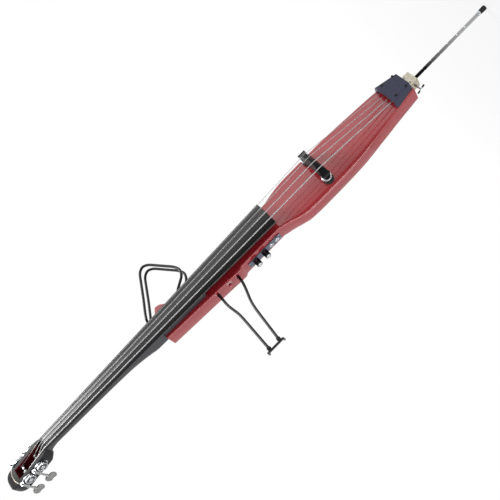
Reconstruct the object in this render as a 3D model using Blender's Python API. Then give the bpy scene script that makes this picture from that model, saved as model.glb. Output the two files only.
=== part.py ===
"""Electric double bass: solid body, bolted neck, tail cover, endpin, knee rest and bout frame.

Lengths are millimetres in the constants and become metres in the meshes. +Z runs from the
endpin's rubber foot to the head, the strings face -Y, and the treble side is +X. The origin is
the middle of the foot's underside.
"""
import math

import bmesh
import bpy
from mathutils import Matrix, Vector

MM = 0.001
GAP = 0.3
OVERCUT = 5.0
STEP = 0.01

# Scale and stations along the instrument
STRING_LENGTH = 1060.0
BRIDGE_Z = 653.0
NUT_Z = BRIDGE_Z + STRING_LENGTH
BODY_TAIL_Z = 312.0
BODY_HEAD_Z = 1272.0
BOARD_END_Z = 838.0
HEAD_TOP_Z = 1877.0

# Body
BODY_FRONT = -25.0
BODY_BACK = 25.0
FRONT_ARCH = 7.0
ARCH_HALF_WIDTH = 71.0
BACK_ROUND = 5.0
RECESS_X = -43.5

# Fingerboard and neck
PLANE_Y_NUT = -39.0
PLANE_Y_END = -51.5
BOARD_HALF_NUT = 21.5
BOARD_HALF_END = 43.0
BOARD_EDGE = 5.0
CAMBER_NUT = 60.0
CAMBER_END = 72.0
TENON_END_Z = 1113.0
TENON_HALF_TAIL = 30.0
TENON_HALF_HEAD = 27.0
TENON_LAP = 8.0
HEEL_BACK = 1.0
NECK_INSET = 0.5
NECK_SIDE = 4.0
NUT_WIDTH = 6.0
NUT_RISE = 9.2
NECK_BOLTS = ((-14.0, 1245.0), (14.0, 1140.0))
BOLT_R = 4.0
BOLT_HEAD_R = 7.0
BOLT_TIP_Y = -38.0
BOLT_SEAT_Y = 15.0
BOLT_HEAD_Y = 20.0

# Strings: name, radius, x at nut, x at bridge, x at tail, post row
STRING_SPECS = (
    ("e", 1.5, -15.4, -33.5, -24.0, 0),
    ("a", 1.2, -5.1, -11.2, -8.5, 1),
    ("d", 0.9, 5.1, 11.2, 8.5, 1),
    ("g", 0.7, 15.4, 33.5, 24.0, 0),
)
STRING_TURNS = 2.5
TAIL_STRING_Y = -32.0
TAIL_ANCHOR_Z = 350.0
TAILPIECE_HALF = 26.5
TAILPIECE_FRONT = -38.0
TAILPIECE_Z = (336.0, 355.0)

# Bridge
BRIDGE_THICK = 26.0
BRIDGE_CREST_THICK = 9.0
BRIDGE_CREST_Y = -82.0
BRIDGE_CREST_RADIUS = 71.0
BRIDGE_HALF = 56.0
BRIDGE_CORNER = 8.0
BRIDGE_SHOULDER_Y = -60.0
BRIDGE_FLARE = 22.0
LEG_TAPER = 0.7
LEG_ARCH = 6.0
LEG_X = 46.5
LEG_HALF = 9.0
LEG_FOOT_Y = -46.0
BRIDGE_ARCH_Y = -58.0
STUD_R = 4.0
STUD_RISE = 11.0
STUD_SINK = 1.2
WHEEL_R = 15.0
WHEEL_THICK = 7.0
FOOT_R = 15.0
FOOT_TOP_Y = -31.0
PICKUP_HALF = 26.0
PICKUP_THICK = 3.7
PICKUP_HALF_Z = 5.0

# Tail end
COVER_HEAD_Z = 381.0
COVER_TAIL_Z = 313.0
COVER_HALF_HEAD = 41.0
COVER_HALF_TAIL = 28.0
COVER_FRONT_HEAD = -51.0
COVER_FRONT_TAIL = -45.0
COVER_WALL = 3.0
COVER_FLARE = 6.0
COVER_CORNER = 4.0
COVER_GATE_Y = -40.0
COVER_GATE_IN = 7.0
COVER_OPEN = 6.0
SCREW_X = 28.0
SCREW_Z = (363.0, 325.0)
SCREW_R = 2.0
SCREW_HEAD_R = 4.0
SCREW_HEAD_THICK = 1.3
SCREW_END_Y = -12.0
ROD_R = 5.0
ROD_BOTTOM = 8.0
ROD_TOP = 360.0
ROD_TRAVEL = 230.0
ROD_CHAMFER = 1.5
BORE_GAP = 0.6
BORE_SPARE = 6.0
BRACKET_HALF_X = 20.0
BRACKET_FRONT = -20.0
BRACKET_BACK = 12.0
BRACKET_BOTTOM = 281.5
TSCREW_Z = 294.0
TSCREW_R = 3.0
TSCREW_OUT = 40.0
TSCREW_BAR = 30.0
TSCREW_BAR_R = 2.6
TSCREW_LEAN = (0.0, 0.38, 0.92)
TIP_R = 7.5
TIP_TOP = 21.0
FERRULE_R = 6.2
FERRULE_TOP = 29.0
NOTCH_Z = (82.0, 114.0, 148.0, 181.0, 214.0, 245.0)
NOTCH_HALF = 2.0
NOTCH_FLOOR = 1.2
NOTCH_DEPTH = 0.8

# Controls on the bass side
PANEL_Z = (853.0, 973.0)
PANEL_Y = (-9.0, 15.0)
PANEL_THICK = 2.0
KNOB_Z = (950.0, 917.0)
KNOB_R = 9.5
KNOB_LENGTH = 20.0
KNOB_STEM_R = 3.0
JACK_Z = (890.0, 868.0)
JACK_R = 6.0
JACK_BORE_R = 3.3
JACK_INNER_X = -18.0
JACK_FLOOR_X = -22.0
CONTROL_Y = 3.0
POT_BUSH_R = 4.5
POT_CASE_R = 8.0
POT_CASE_LENGTH = 16.0
SOCKET_DEPTH = 30.0
CAVITY_X = 32.0
CAVITY_Z = (850.0, 980.0)
CAVITY_FRONT = -12.0
COVER_RIM = 6.0
PLATE_THICK = 2.0
PREAMP_HALF_X = 24.0
PREAMP_THICK = 4.7
PREAMP_MARGIN = 8.0
BATTERY_Z = (1004.0, 1058.0)
BATTERY_HALF_X = 15.0
BATTERY_DEPTH = 20.0
BATTERY_PLAY = 2.0
BATTERY_HEADROOM = 5.0
DOOR_THICK = 2.5

# Knee rest and bout frame
TUBE_R = 4.0
REST_Y = -7.0
REST_SOCKET = 24.0
REST_SOCKET_END_X = -18.0
REST_SPARE_Z = 1047.0
REST_SPARE_END_X = -32.0
REST_UPPER = ((-62.0, 1090.0), (-90.0, 1092.0), (-132.0, 1085.0), (-154.0, 1085.0), (-277.0, 1089.5))
REST_LOWER = ((-62.0, 1016.0), (-90.0, 1023.0), (-132.0, 1038.0), (-160.0, 1043.0), (-277.0, 1054.5))
REST_BAR_R = 3.5
PAD_X = REST_UPPER[-1][0] - REST_BAR_R - GAP - 0.6
PAD_HOOK = 18.0
PAD_OVERHANG = 10.0
PAD_RISE = 4.0
COLLAR_WALL = 2.0
COLLAR_LENGTH = 7.0
FRAME_Y = 15.0
FRAME_SOCKET_Z = 1168.0
FRAME_SOCKET_X = (12.0, 60.0)
FRAME_PATH = ((20.0, FRAME_SOCKET_Z), (58.0, FRAME_SOCKET_Z), (70.0, 1150.0), (85.0, 1128.0), (106.0, 1120.0),
              (126.0, 1127.0), (200.0, 1180.0), (209.0, 1197.0), (199.0, 1214.0),
              (120.0, 1256.0), (80.0, 1279.0))
FRAME_TURN = ((62.0, -11.0, 1289.0), (60.0, 11.0, 1289.0))

# Head
HEAD_HALF = 28.0
SLOT_HALF = 16.0
SLOT_Z = (1734.0, 1834.0)
SLOT_DEPTH = 34.0
SLOT_LEAD = 12.0
HEAD_TILT = 0.13
HEAD_FRONT = -44.0
HEAD_BEVEL = 2.5
HEAD_SNUB_Z = 1850.0
HEAD_SNUB_SLOPE = 0.35
POST_ROWS = ((1812.0, -17.0), (1764.0, -19.0))
POST_R = 5.0
POST_INNER_X = 2.0
POST_CHAMFER = 0.6
CAP_R = 4.0
CAP_LENGTH = 2.0
PLATE_X = 28.3
MACHINE_PLATE = 2.0
PLATE_HALF_Y = 17.0
PLATE_HALF_Z = 23.4
PLATE_RISE = 4.0
GEAR_X = 33.0
GEAR_THICK = 5.0
GEAR_R = 16.5
WORM_X = 35.5
WORM_R = 5.0
WORM_OFFSET = 22.0
SHAFT_R = 3.0
SHAFT_FRONT = 20.0
EAR_HALF = 11.0
EAR_THICK = 4.0
EAR_RISE = 5.0
KEY_Y = 46.0
KEY_HALF_Y = 19.0
KEY_HALF_Z = 18.0
KEY_THICK = 5.0


def finish(name, hex_colour, roughness, metallic=0.0):
    """A plain Principled material from an sRGB colour."""
    material = bpy.data.materials.new(name)
    material.use_nodes = True
    shader = material.node_tree.nodes["Principled BSDF"]
    channels = [int(hex_colour[i:i + 2], 16) / 255.0 for i in (0, 2, 4)]
    linear = [c / 12.92 if c <= 0.04045 else ((c + 0.055) / 1.055) ** 2.4 for c in channels]
    shader.inputs["Base Color"].default_value = (*linear, 1.0)
    shader.inputs["Roughness"].default_value = roughness
    shader.inputs["Metallic"].default_value = metallic
    material.diffuse_color = (*linear, 1.0)
    return material


def add_object(name, mesh_maker, material, origin=(0.0, 0.0, 0.0), sharp=35.0):
    """Turn millimetre geometry into one object whose origin is the given point."""
    mesh_maker.normal_update()
    bmesh.ops.recalc_face_normals(mesh_maker, faces=mesh_maker.faces)
    shift = Matrix.Translation(-Vector(origin))
    bmesh.ops.transform(mesh_maker, matrix=Matrix.Scale(MM, 4) @ shift, verts=mesh_maker.verts)
    mesh = bpy.data.meshes.new(name)
    mesh_maker.to_mesh(mesh)
    mesh_maker.free()
    mesh.shade_smooth()
    mesh.set_sharp_from_angle(angle=math.radians(sharp))
    item = bpy.data.objects.new(name, mesh)
    item.location = Vector(origin) * MM
    bpy.context.scene.collection.objects.link(item)
    if material is not None:
        mesh.materials.append(material)
    return item


def loft(rings, closed_ends=True):
    """Skin a list of rings with equal point counts into one closed shape."""
    shape = bmesh.new()
    rows = [[shape.verts.new(point) for point in ring] for ring in rings]
    count = len(rows[0])
    for lower, upper in zip(rows, rows[1:]):
        for i in range(count):
            j = (i + 1) % count
            shape.faces.new((lower[i], lower[j], upper[j], upper[i]))
    if closed_ends:
        shape.faces.new(rows[0])
        shape.faces.new(rows[-1])
    return shape


def prism(outline, axis, low, high):
    """Push an outline along X, Y or Z between two levels."""
    def place(point, level):
        spots = {"X": (level, point[0], point[1]),
                 "Y": (point[0], level, point[1]),
                 "Z": (point[0], point[1], level)}
        return spots[axis]
    return loft([[place(p, low) for p in outline], [place(p, high) for p in outline]])


def box(x_range, y_range, z_range):
    corners = ((x_range[0], y_range[0]), (x_range[1], y_range[0]),
               (x_range[1], y_range[1]), (x_range[0], y_range[1]))
    return prism(corners, "Z", z_range[0], z_range[1])


def turned(profile, centre, direction, sides=16):
    """A solid of revolution: profile holds (distance along direction, radius) pairs."""
    turn = Vector(direction).normalized().to_track_quat("Z", "Y").to_matrix()
    rings = []
    for along, radius in profile:
        ring = []
        for i in range(sides):
            angle = 2.0 * math.pi * i / sides
            local = Vector((radius * math.cos(angle), radius * math.sin(angle), along))
            ring.append(Vector(centre) + turn @ local)
        rings.append(ring)
    return loft(rings)


def sweep(points, radius, sides=10):
    """A round tube along points, its ring carried on without twist."""
    path = [Vector(p) for p in points]
    tangents = []
    for i in range(len(path)):
        before = path[max(i - 1, 0)]
        after = path[min(i + 1, len(path) - 1)]
        tangents.append((after - before).normalized())
    normal = tangents[0].orthogonal().normalized()
    rings = []
    for i, (point, tangent) in enumerate(zip(path, tangents)):
        if i:
            normal = tangents[i - 1].rotation_difference(tangent) @ normal
            normal = (normal - tangent * normal.dot(tangent)).normalized()
        across = tangent.cross(normal)
        rings.append([point + radius * (math.cos(t) * normal + math.sin(t) * across)
                      for t in (2.0 * math.pi * k / sides for k in range(sides))])
    return loft(rings)


def rounded_path(points, reach, steps=4):
    """Replace each inner corner of a broken line by a smooth bend that starts reach before it."""
    path = [Vector(p) for p in points]
    out = [path[0]]
    for before, corner, after in zip(path, path[1:], path[2:]):
        arm_in = min(reach, 0.45 * (corner - before).length)
        arm_out = min(reach, 0.45 * (after - corner).length)
        start = corner + (before - corner).normalized() * arm_in
        end = corner + (after - corner).normalized() * arm_out
        for k in range(steps + 1):
            t = k / steps
            out.append(start.lerp(corner, t).lerp(corner.lerp(end, t), t))
    out.append(path[-1])
    return out


def cut(item, cutter_name, cutter_shape, operation="DIFFERENCE"):
    """Take a cutter away from an object, or join it, with an exact Boolean."""
    cutter = add_object(cutter_name, cutter_shape, None)
    cutter.hide_render = True
    cutter.display_type = "WIRE"
    change = item.modifiers.new(cutter_name, "BOOLEAN")
    change.operation = operation
    change.object = cutter
    change.solver = "EXACT"


def interpolate(stations, z, column):
    """Straight-line value of one column of a station table at height z."""
    for low, high in zip(stations, stations[1:]):
        if low[0] <= z <= high[0]:
            share = (z - low[0]) / (high[0] - low[0])
            return low[column] + share * (high[column] - low[column])
    return stations[0][column] if z < stations[0][0] else stations[-1][column]


# Height, half-width on the bass side, half-width on the treble side, arch share, edge radius
BODY_STATIONS = (
    (312.0, 40.0, 40.0, 0.0, 4.0), (332.0, 42.5, 42.5, 0.0, 5.0), (392.0, 49.0, 49.0, 0.1, 6.0),
    (430.0, 54.0, 54.0, 0.4, 7.0), (474.0, 59.5, 59.5, 0.7, 9.0), (515.0, 65.0, 65.0, 0.9, 11.0),
    (557.0, 69.0, 69.0, 1.0, 12.0), (612.0, 71.0, 71.5, 1.0, 12.0), (666.0, 71.5, 72.0, 1.0, 12.0),
    (710.0, 71.5, 72.0, 1.0, 12.0), (740.0, 70.5, 71.5, 1.0, 12.0), (761.0, 68.5, 69.5, 1.0, 11.0),
    (780.0, 63.5, 65.0, 0.9, 10.0), (800.0, 56.5, 59.0, 0.6, 8.0), (818.0, 50.5, 52.5, 0.3, 6.0),
    (835.0, 46.5, 48.5, 0.0, 5.0), (845.0, 43.5, 47.5, 0.0, 4.0), (988.0, 43.5, 47.0, 0.0, 4.0),
    (1000.0, 49.5, 46.5, 0.0, 4.0), (1060.0, 46.5, 45.0, 0.0, 4.0), (1113.0, 44.0, 43.0, 0.0, 4.0),
    (1205.0, 39.5, 40.0, 0.0, 4.0), (1219.0, 38.8, 57.0, 0.0, 4.0), (1231.0, 38.2, 66.0, 0.0, 4.0),
    (1243.0, 37.6, 68.5, 0.0, 4.0), (1254.0, 37.0, 57.0, 0.0, 4.0), (1262.0, 36.6, 41.0, 0.0, 4.0),
    (1272.0, 36.0, 36.0, 0.0, 4.0),
)


def body_front_y(x, z):
    """Front face of the body, gently arched across the bout and rounded at its edges."""
    half = interpolate(BODY_STATIONS, z, 1 if x < 0.0 else 2)
    arch = FRONT_ARCH * interpolate(BODY_STATIONS, z, 3)
    edge = interpolate(BODY_STATIONS, z, 4)
    beyond = max(0.0, min(edge, abs(x) - (half - edge)))
    drop = edge - math.sqrt(edge * edge - beyond * beyond)
    return BODY_FRONT + arch * (x / ARCH_HALF_WIDTH) ** 2 + drop


def body_ring(station):
    z, bass, treble, _, edge = station
    ring = []
    flat_steps = 10
    round_steps = 4
    xs = []
    for k in range(round_steps):
        angle = math.pi / 2 * k / round_steps
        xs.append(-bass + edge * (1.0 - math.cos(angle)))
    for k in range(flat_steps + 1):
        xs.append(-(bass - edge) + (bass + treble - 2.0 * edge) * k / flat_steps)
    for k in range(round_steps - 1, -1, -1):
        angle = math.pi / 2 * k / round_steps
        xs.append(treble - edge * (1.0 - math.cos(angle)))
    ring.extend((x, body_front_y(x, z), z) for x in xs)
    for k in range(3):
        angle = math.pi / 2 * k / 2
        ring.append((treble - BACK_ROUND * (1.0 - math.cos(angle)),
                     BODY_BACK - BACK_ROUND * (1.0 - math.sin(angle)), z))
    for k in range(2, -1, -1):
        angle = math.pi / 2 * k / 2
        ring.append((-bass + BACK_ROUND * (1.0 - math.cos(angle)),
                     BODY_BACK - BACK_ROUND * (1.0 - math.sin(angle)), z))
    return ring


def plane_y(z):
    """Height of the glue plane between neck and fingerboard."""
    share = (NUT_Z - z) / (NUT_Z - BOARD_END_Z)
    return PLANE_Y_NUT + (PLANE_Y_END - PLANE_Y_NUT) * share


def board_half(z):
    share = (NUT_Z - z) / (NUT_Z - BOARD_END_Z)
    return BOARD_HALF_NUT + (BOARD_HALF_END - BOARD_HALF_NUT) * share


def head_front_y(z):
    return HEAD_FRONT + HEAD_TILT * (z - NUT_Z)


def crest_y(x):
    return BRIDGE_CREST_Y + BRIDGE_CREST_RADIUS - math.sqrt(BRIDGE_CREST_RADIUS ** 2 - x * x)


def slope_lift(lift, x, radius):
    """Upright offset that keeps a string lift away from a round crest at x."""
    return lift * radius / math.sqrt(radius * radius - x * x) + 0.1


def nut_top_y(x):
    return plane_y(NUT_Z) - NUT_RISE + CAMBER_NUT - math.sqrt(CAMBER_NUT ** 2 - x * x)


def make_body(material):
    body = add_object("body", loft([body_ring(s) for s in BODY_STATIONS]), material)
    bore_r = ROD_R + BORE_GAP
    bore_top = ROD_TOP + ROD_TRAVEL + BORE_SPARE
    cut(body, "cut_endpin_bore", turned(((BODY_TAIL_Z - OVERCUT, bore_r), (bore_top, bore_r)),
                                        (0, 0, 0), (0, 0, 1)))
    cut(body, "cut_cavity", box((-CAVITY_X, CAVITY_X), (CAVITY_FRONT, BODY_BACK + OVERCUT), CAVITY_Z))
    cut(body, "cut_cavity_rim", box((-CAVITY_X - COVER_RIM, CAVITY_X + COVER_RIM),
                                    (BODY_BACK - PLATE_THICK - GAP, BODY_BACK + OVERCUT),
                                    (CAVITY_Z[0] - COVER_RIM, CAVITY_Z[1] + COVER_RIM)))
    cut(body, "cut_battery", box((-BATTERY_HALF_X, BATTERY_HALF_X),
                                 (battery_floor(), BODY_BACK + OVERCUT), BATTERY_Z))
    for i, z in enumerate(KNOB_Z):
        cut(body, f"cut_pot_{i}", control_hole(POT_BUSH_R + GAP, z))
    for i, z in enumerate(JACK_Z):
        cut(body, f"cut_jack_{i}", control_hole(JACK_R + GAP, z))
    for name, path in (("upper", REST_UPPER), ("lower", REST_LOWER)):
        cut(body, f"cut_rest_{name}", turned(((-60.0, TUBE_R + GAP), (REST_SOCKET_END_X, TUBE_R + GAP)),
                                             (0, REST_Y, path[0][1]), (1, 0, 0)))
    cut(body, "cut_rest_spare", turned(((-60.0, TUBE_R), (REST_SPARE_END_X, TUBE_R)),
                                       (0, REST_Y, REST_SPARE_Z), (1, 0, 0)))
    for side, y in (("front", -FRAME_Y), ("back", FRAME_Y)):
        cut(body, f"cut_frame_{side}", turned([(x, TUBE_R + GAP) for x in FRAME_SOCKET_X],
                                              (0, y, FRAME_SOCKET_Z), (1, 0, 0)))
    for i, (x, z) in enumerate(cover_screw_places()):
        cut(body, f"cut_cover_screw_{i}", turned(((BODY_FRONT - OVERCUT, SCREW_R + GAP),
                                                  (SCREW_END_Y, SCREW_R + GAP)), (x, 0, z), (0, 1, 0), 12))
    head_hole = BOLT_HEAD_R + GAP + 0.2
    for i, (x, z) in enumerate(NECK_BOLTS):
        cut(body, f"cut_neck_bolt_{i}",
            turned(((BODY_FRONT - OVERCUT, BOLT_R + GAP), (BOLT_SEAT_Y, BOLT_R + GAP),
                    (BOLT_SEAT_Y + STEP, head_hole), (BODY_BACK + OVERCUT, head_hole)), (x, 0, z), (0, 1, 0)))


def battery_floor():
    """Level of the bottom of the battery's pocket."""
    return BODY_BACK - BATTERY_DEPTH - 4.0


def control_hole(radius, z):
    """Cutter for a bush that passes from the recess into the cavity."""
    return turned(((-SOCKET_DEPTH, radius), (SOCKET_DEPTH - 10.0, radius)), (RECESS_X, CONTROL_Y, z), (1, 0, 0))


def cover_screw_places():
    return [(x, z) for z in SCREW_Z for x in (-SCREW_X, SCREW_X)]


def make_back_pieces(plastic, metal, board_green, cell):
    rim = CAVITY_X + COVER_RIM - GAP
    plate = box((-rim, rim), (BODY_BACK - PLATE_THICK, BODY_BACK),
                (CAVITY_Z[0] - COVER_RIM + GAP, CAVITY_Z[1] + COVER_RIM - GAP))
    add_object("electronics_cover", plate, plastic)
    board_low = CAVITY_FRONT + GAP
    board = box((-PREAMP_HALF_X, PREAMP_HALF_X), (board_low, board_low + PREAMP_THICK),
                (CAVITY_Z[0] + PREAMP_MARGIN, CAVITY_Z[1] - PREAMP_MARGIN))
    add_object("preamp_board", board, board_green)
    battery_half = BATTERY_HALF_X - BATTERY_PLAY
    battery = box((-battery_half, battery_half), (battery_floor() + GAP, BODY_BACK - BATTERY_HEADROOM),
                  (BATTERY_Z[0] + GAP, BATTERY_Z[1] - BATTERY_HEADROOM))
    add_object("battery", battery, cell)
    door_half = BATTERY_HALF_X - GAP
    door = box((-door_half, door_half), (BODY_BACK - DOOR_THICK, BODY_BACK),
               (BATTERY_Z[0] + GAP, BATTERY_Z[1] - GAP))
    add_object("battery_door", door, plastic, origin=(0, BODY_BACK, BATTERY_Z[0]))
    under_head = BOLT_SEAT_Y + GAP
    for i, (x, z) in enumerate(NECK_BOLTS):
        bolt = turned(((BOLT_TIP_Y, BOLT_R), (under_head, BOLT_R), (under_head + STEP, BOLT_HEAD_R),
                       (BOLT_HEAD_Y, BOLT_HEAD_R)), (x, 0, z), (0, 1, 0))
        add_object(f"neck_bolt_{i + 1}", bolt, metal)


# Height, level of the back, power of the section's curve (2 is an ellipse, more is squarer)
HEEL_END_Z = BODY_HEAD_Z + 138.0
NECK_FLARE_Z = NUT_Z - 28.0


def along_neck(share):
    """Height at a share of the slim stretch between the heel and the flare below the nut."""
    return HEEL_END_Z + (NECK_FLARE_Z - HEEL_END_Z) * share


NECK_STATIONS = (
    (BODY_HEAD_Z + GAP, HEEL_BACK, 5.0), (BODY_HEAD_Z + 38.0, HEEL_BACK, 5.0),
    (BODY_HEAD_Z + 58.0, -1.5, 4.0), (BODY_HEAD_Z + 78.0, -4.5, 3.2), (BODY_HEAD_Z + 103.0, -8.0, 2.6),
    (HEEL_END_Z, -11.0, 2.2), (along_neck(90.0 / 275.0), -13.0, 2.0), (along_neck(190.0 / 275.0), -14.0, 2.0),
    (NECK_FLARE_Z, -14.5, 2.0), (NUT_Z - 13.0, -13.0, 2.2), (NUT_Z + NUT_WIDTH, -8.0, 3.0),
)


def make_neck(material):
    rings = []
    for z, back, power in NECK_STATIONS:
        half = board_half(min(z, NUT_Z)) - NECK_INSET
        front = plane_y(min(z, NUT_Z))
        side = front + NECK_SIDE
        ring = [(half, front, z), (-half, front, z)]
        for k in range(13):
            angle = math.pi - math.pi * k / 12
            c, s = math.cos(angle), math.sin(angle)
            x = half * math.copysign(abs(c) ** (2.0 / power), c)
            y = side + (back - side) * abs(s) ** (2.0 / power)
            ring.append((x, y, z))
        rings.append(ring)
    neck = add_object("neck", loft(rings), material)
    tenon = loft([[(-w, plane_y(z) + 0.2, z), (w, plane_y(z) + 0.2, z),
                   (w, BODY_FRONT - GAP, z), (-w, BODY_FRONT - GAP, z)]
                  for z, w in ((TENON_END_Z, TENON_HALF_TAIL), (BODY_HEAD_Z + TENON_LAP, TENON_HALF_HEAD))])
    cut(neck, "join_tenon", tenon, "UNION")
    for i, (x, z) in enumerate(NECK_BOLTS):
        thread = turned(((BOLT_TIP_Y - 1.0, BOLT_R + GAP), (BODY_FRONT + OVERCUT, BOLT_R + GAP)),
                        (x, 0, z), (0, 1, 0))
        cut(neck, f"cut_neck_thread_{i}", thread)


def make_fingerboard(material):
    rings = []
    for z in (BOARD_END_Z, 1000.0, 1200.0, 1450.0, NUT_Z - GAP):
        half = board_half(z)
        share = (NUT_Z - z) / (NUT_Z - BOARD_END_Z)
        radius = CAMBER_NUT + (CAMBER_END - CAMBER_NUT) * share
        under = plane_y(z) - GAP
        edge = under - BOARD_EDGE
        ring = [(-half, under, z), (half, under, z)]
        steps = 12
        for k in range(steps + 1):
            x = half - 2.0 * half * k / steps
            rise = math.sqrt(radius ** 2 - x * x) - math.sqrt(radius ** 2 - half ** 2)
            ring.append((x, edge - rise, z))
        rings.append(ring)
    add_object("fingerboard", loft(rings), material)


def make_nut(material):
    outline = [(-BOARD_HALF_NUT, plane_y(NUT_Z) - GAP), (BOARD_HALF_NUT, plane_y(NUT_Z) - GAP)]
    for k in range(13):
        x = BOARD_HALF_NUT - 2.0 * BOARD_HALF_NUT * k / 12
        outline.append((x, nut_top_y(x)))
    add_object("nut", prism(outline, "Z", NUT_Z, NUT_Z + NUT_WIDTH - 0.2), material)


# Height, half-width, level of the back
HEAD_BASE_Z = NUT_Z + NUT_WIDTH + GAP
HEAD_STATIONS = (
    (HEAD_BASE_Z, 22.0, -7.0), (1728.0, 25.0, 0.0), (1742.0, HEAD_HALF, 8.0),
    (1800.0, HEAD_HALF, 16.0), (1842.0, HEAD_HALF, 23.0), (1858.0, 27.0, 22.0),
    (1870.0, 24.0, 17.0), (HEAD_TOP_Z, 18.0, 8.0),
)


def make_pegbox(material):
    rings = []
    for z, half, back in HEAD_STATIONS:
        front = head_front_y(z) + HEAD_SNUB_SLOPE * max(0.0, z - HEAD_SNUB_Z)
        ring = [(-half + HEAD_BEVEL, front, z), (half - HEAD_BEVEL, front, z), (half, front + HEAD_BEVEL, z),
                (half, back - 5.0, z), (half - 1.8, back - 1.6, z), (half - 5.5, back, z),
                (-half + 5.5, back, z), (-half + 1.8, back - 1.6, z), (-half, back - 5.0, z),
                (-half, front + HEAD_BEVEL, z)]
        rings.append(ring)
    pegbox = add_object("pegbox", loft(rings), material)
    slot = loft([[(-SLOT_HALF, head_front_y(z) - SLOT_LEAD, z), (SLOT_HALF, head_front_y(z) - SLOT_LEAD, z),
                  (SLOT_HALF, head_front_y(z) + SLOT_DEPTH, z),
                  (-SLOT_HALF, head_front_y(z) + SLOT_DEPTH, z)] for z in SLOT_Z])
    cut(pegbox, "cut_slot", slot)
    lead = loft([[(-19.0, -60.0, z), (19.0, -60.0, z), (17.0, y, z), (-17.0, y, z)]
                 for z, y in ((HEAD_BASE_Z - 4.0, -40.5), (SLOT_Z[0] + 6.0, -31.0))])
    cut(pegbox, "cut_string_ramp", lead)
    for i, (z, y) in enumerate(POST_ROWS):
        cut(pegbox, f"cut_posts_{i}", turned(((-40.0, POST_R + GAP), (40.0, POST_R + GAP)),
                                             (0, y, z), (1, 0, 0)))


def make_machine(index, side, row, plate_metal, key_metal):
    """Plate with two ears, post with its gear, and the worm with its key."""
    z, y = POST_ROWS[row]
    name = ("e", "a", "d", "g")[index]
    worm_z = z + WORM_OFFSET
    inner = side * PLATE_X
    outer = side * (PLATE_X + MACHINE_PLATE)
    steps = 20
    outline = []
    for k in range(steps):
        angle = 2.0 * math.pi * k / steps
        outline.append((y + PLATE_HALF_Y * math.cos(angle),
                        z + PLATE_RISE + PLATE_HALF_Z * math.sin(angle)))
    plate = add_object(f"machine_plate_{name}", prism(outline, "X", inner, outer), plate_metal)
    for k, ear_y in enumerate((y - EAR_HALF, y + EAR_HALF)):
        span = sorted((side * (PLATE_X + 0.5), side * (WORM_X + 5.0)))
        ear = box(span, (ear_y - EAR_THICK / 2, ear_y + EAR_THICK / 2),
                  (worm_z - EAR_RISE, worm_z + EAR_RISE))
        cut(plate, f"join_ear_{name}_{k}", ear, "UNION")
    cut(plate, f"cut_plate_post_{name}", turned(((20.0, POST_R + GAP), (32.5, POST_R + GAP)),
                                                (0, y, z), (side, 0, 0)))
    cut(plate, f"cut_ears_{name}", turned(((-30.0, SHAFT_R + GAP), (30.0, SHAFT_R + GAP)),
                                          (side * WORM_X, y, worm_z), (0, 1, 0)))
    gear_end = GEAR_X + GEAR_THICK
    post = turned(((POST_INNER_X, POST_R - POST_CHAMFER), (POST_INNER_X + 0.8, POST_R), (GEAR_X, POST_R),
                   (GEAR_X + STEP, GEAR_R), (gear_end, GEAR_R), (gear_end + STEP, CAP_R),
                   (gear_end + CAP_LENGTH, CAP_R)), (0, y, z), (side, 0, 0))
    add_object(f"tuner_post_{name}", post, plate_metal, origin=(side * GEAR_X, y, z))
    worm_half = EAR_HALF - EAR_THICK / 2 - GAP
    worm = turned(((-SHAFT_FRONT, SHAFT_R), (-worm_half, SHAFT_R), (-worm_half + STEP, WORM_R),
                   (worm_half, WORM_R), (worm_half + STEP, SHAFT_R),
                   (KEY_Y - y - 5.0, SHAFT_R)), (side * WORM_X, y, worm_z), (0, 1, 0))
    key = add_object(f"tuner_key_{name}", worm, key_metal, origin=(side * WORM_X, y, worm_z))
    outline = []
    for k in range(24):
        angle = 2.0 * math.pi * k / 24
        waist = 1.0 - 0.35 * math.cos(angle) ** 8
        outline.append((KEY_Y + KEY_HALF_Y * waist * math.cos(angle),
                        worm_z + KEY_HALF_Z * math.sin(angle)))
    middle = side * WORM_X
    paddle = prism(outline, "X", middle - KEY_THICK / 2, middle + KEY_THICK / 2)
    cut(key, f"join_key_{name}", paddle, "UNION")


def string_points(spec):
    """Centre line of one string from its anchor over the bridge and nut to its post."""
    _, radius, nut_x, bridge_x, tail_x, row = spec
    lift = radius + GAP
    post_z, post_y = POST_ROWS[row]
    side = -1.0 if nut_x < 0.0 else 1.0
    coil = POST_R + lift
    start_x = side * (13.0 if row == 0 else 8.0)
    points = [Vector((tail_x * 0.96, TAIL_STRING_Y, TAIL_ANCHOR_Z + 9.0)),
              Vector((tail_x, TAIL_STRING_Y - 3.5, COVER_HEAD_Z))]
    bridge_y = crest_y(bridge_x) - slope_lift(lift, bridge_x, BRIDGE_CREST_RADIUS)
    points.append(Vector((bridge_x, bridge_y, BRIDGE_Z - 4.0)))
    points.append(Vector((bridge_x, bridge_y - 0.3, BRIDGE_Z)))
    points.append(Vector((bridge_x, bridge_y, BRIDGE_Z + 4.0)))
    nut_y = nut_top_y(nut_x) - slope_lift(lift, nut_x, CAMBER_NUT)
    points.append(Vector((nut_x, nut_y, NUT_Z - 2.0)))
    points.append(Vector((nut_x, nut_y - 0.2, NUT_Z + 3.0)))
    points.append(Vector((nut_x * 0.985, nut_y + 0.9, NUT_Z + NUT_WIDTH + 2.0)))
    steps = 24
    pitch = 2.0 * radius + 0.6
    turns = int(STRING_TURNS * steps)
    for k in range(turns + 1):
        angle = -math.pi / 2 - 0.15 + 2.0 * math.pi * k / steps
        x = start_x - side * pitch * k / steps
        points.append(Vector((x, post_y + coil * math.sin(angle), post_z + coil * math.cos(angle))))
    return points


def coil_gap(spec):
    """Least distance between the turns of one string's winding, measured on its points."""
    points = string_points(spec)[8:]
    least = 1e9
    for i, first in enumerate(points):
        for second in points[i + 12:]:
            least = min(least, (first - second).length)
    return least - 2.0 * spec[1]


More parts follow.
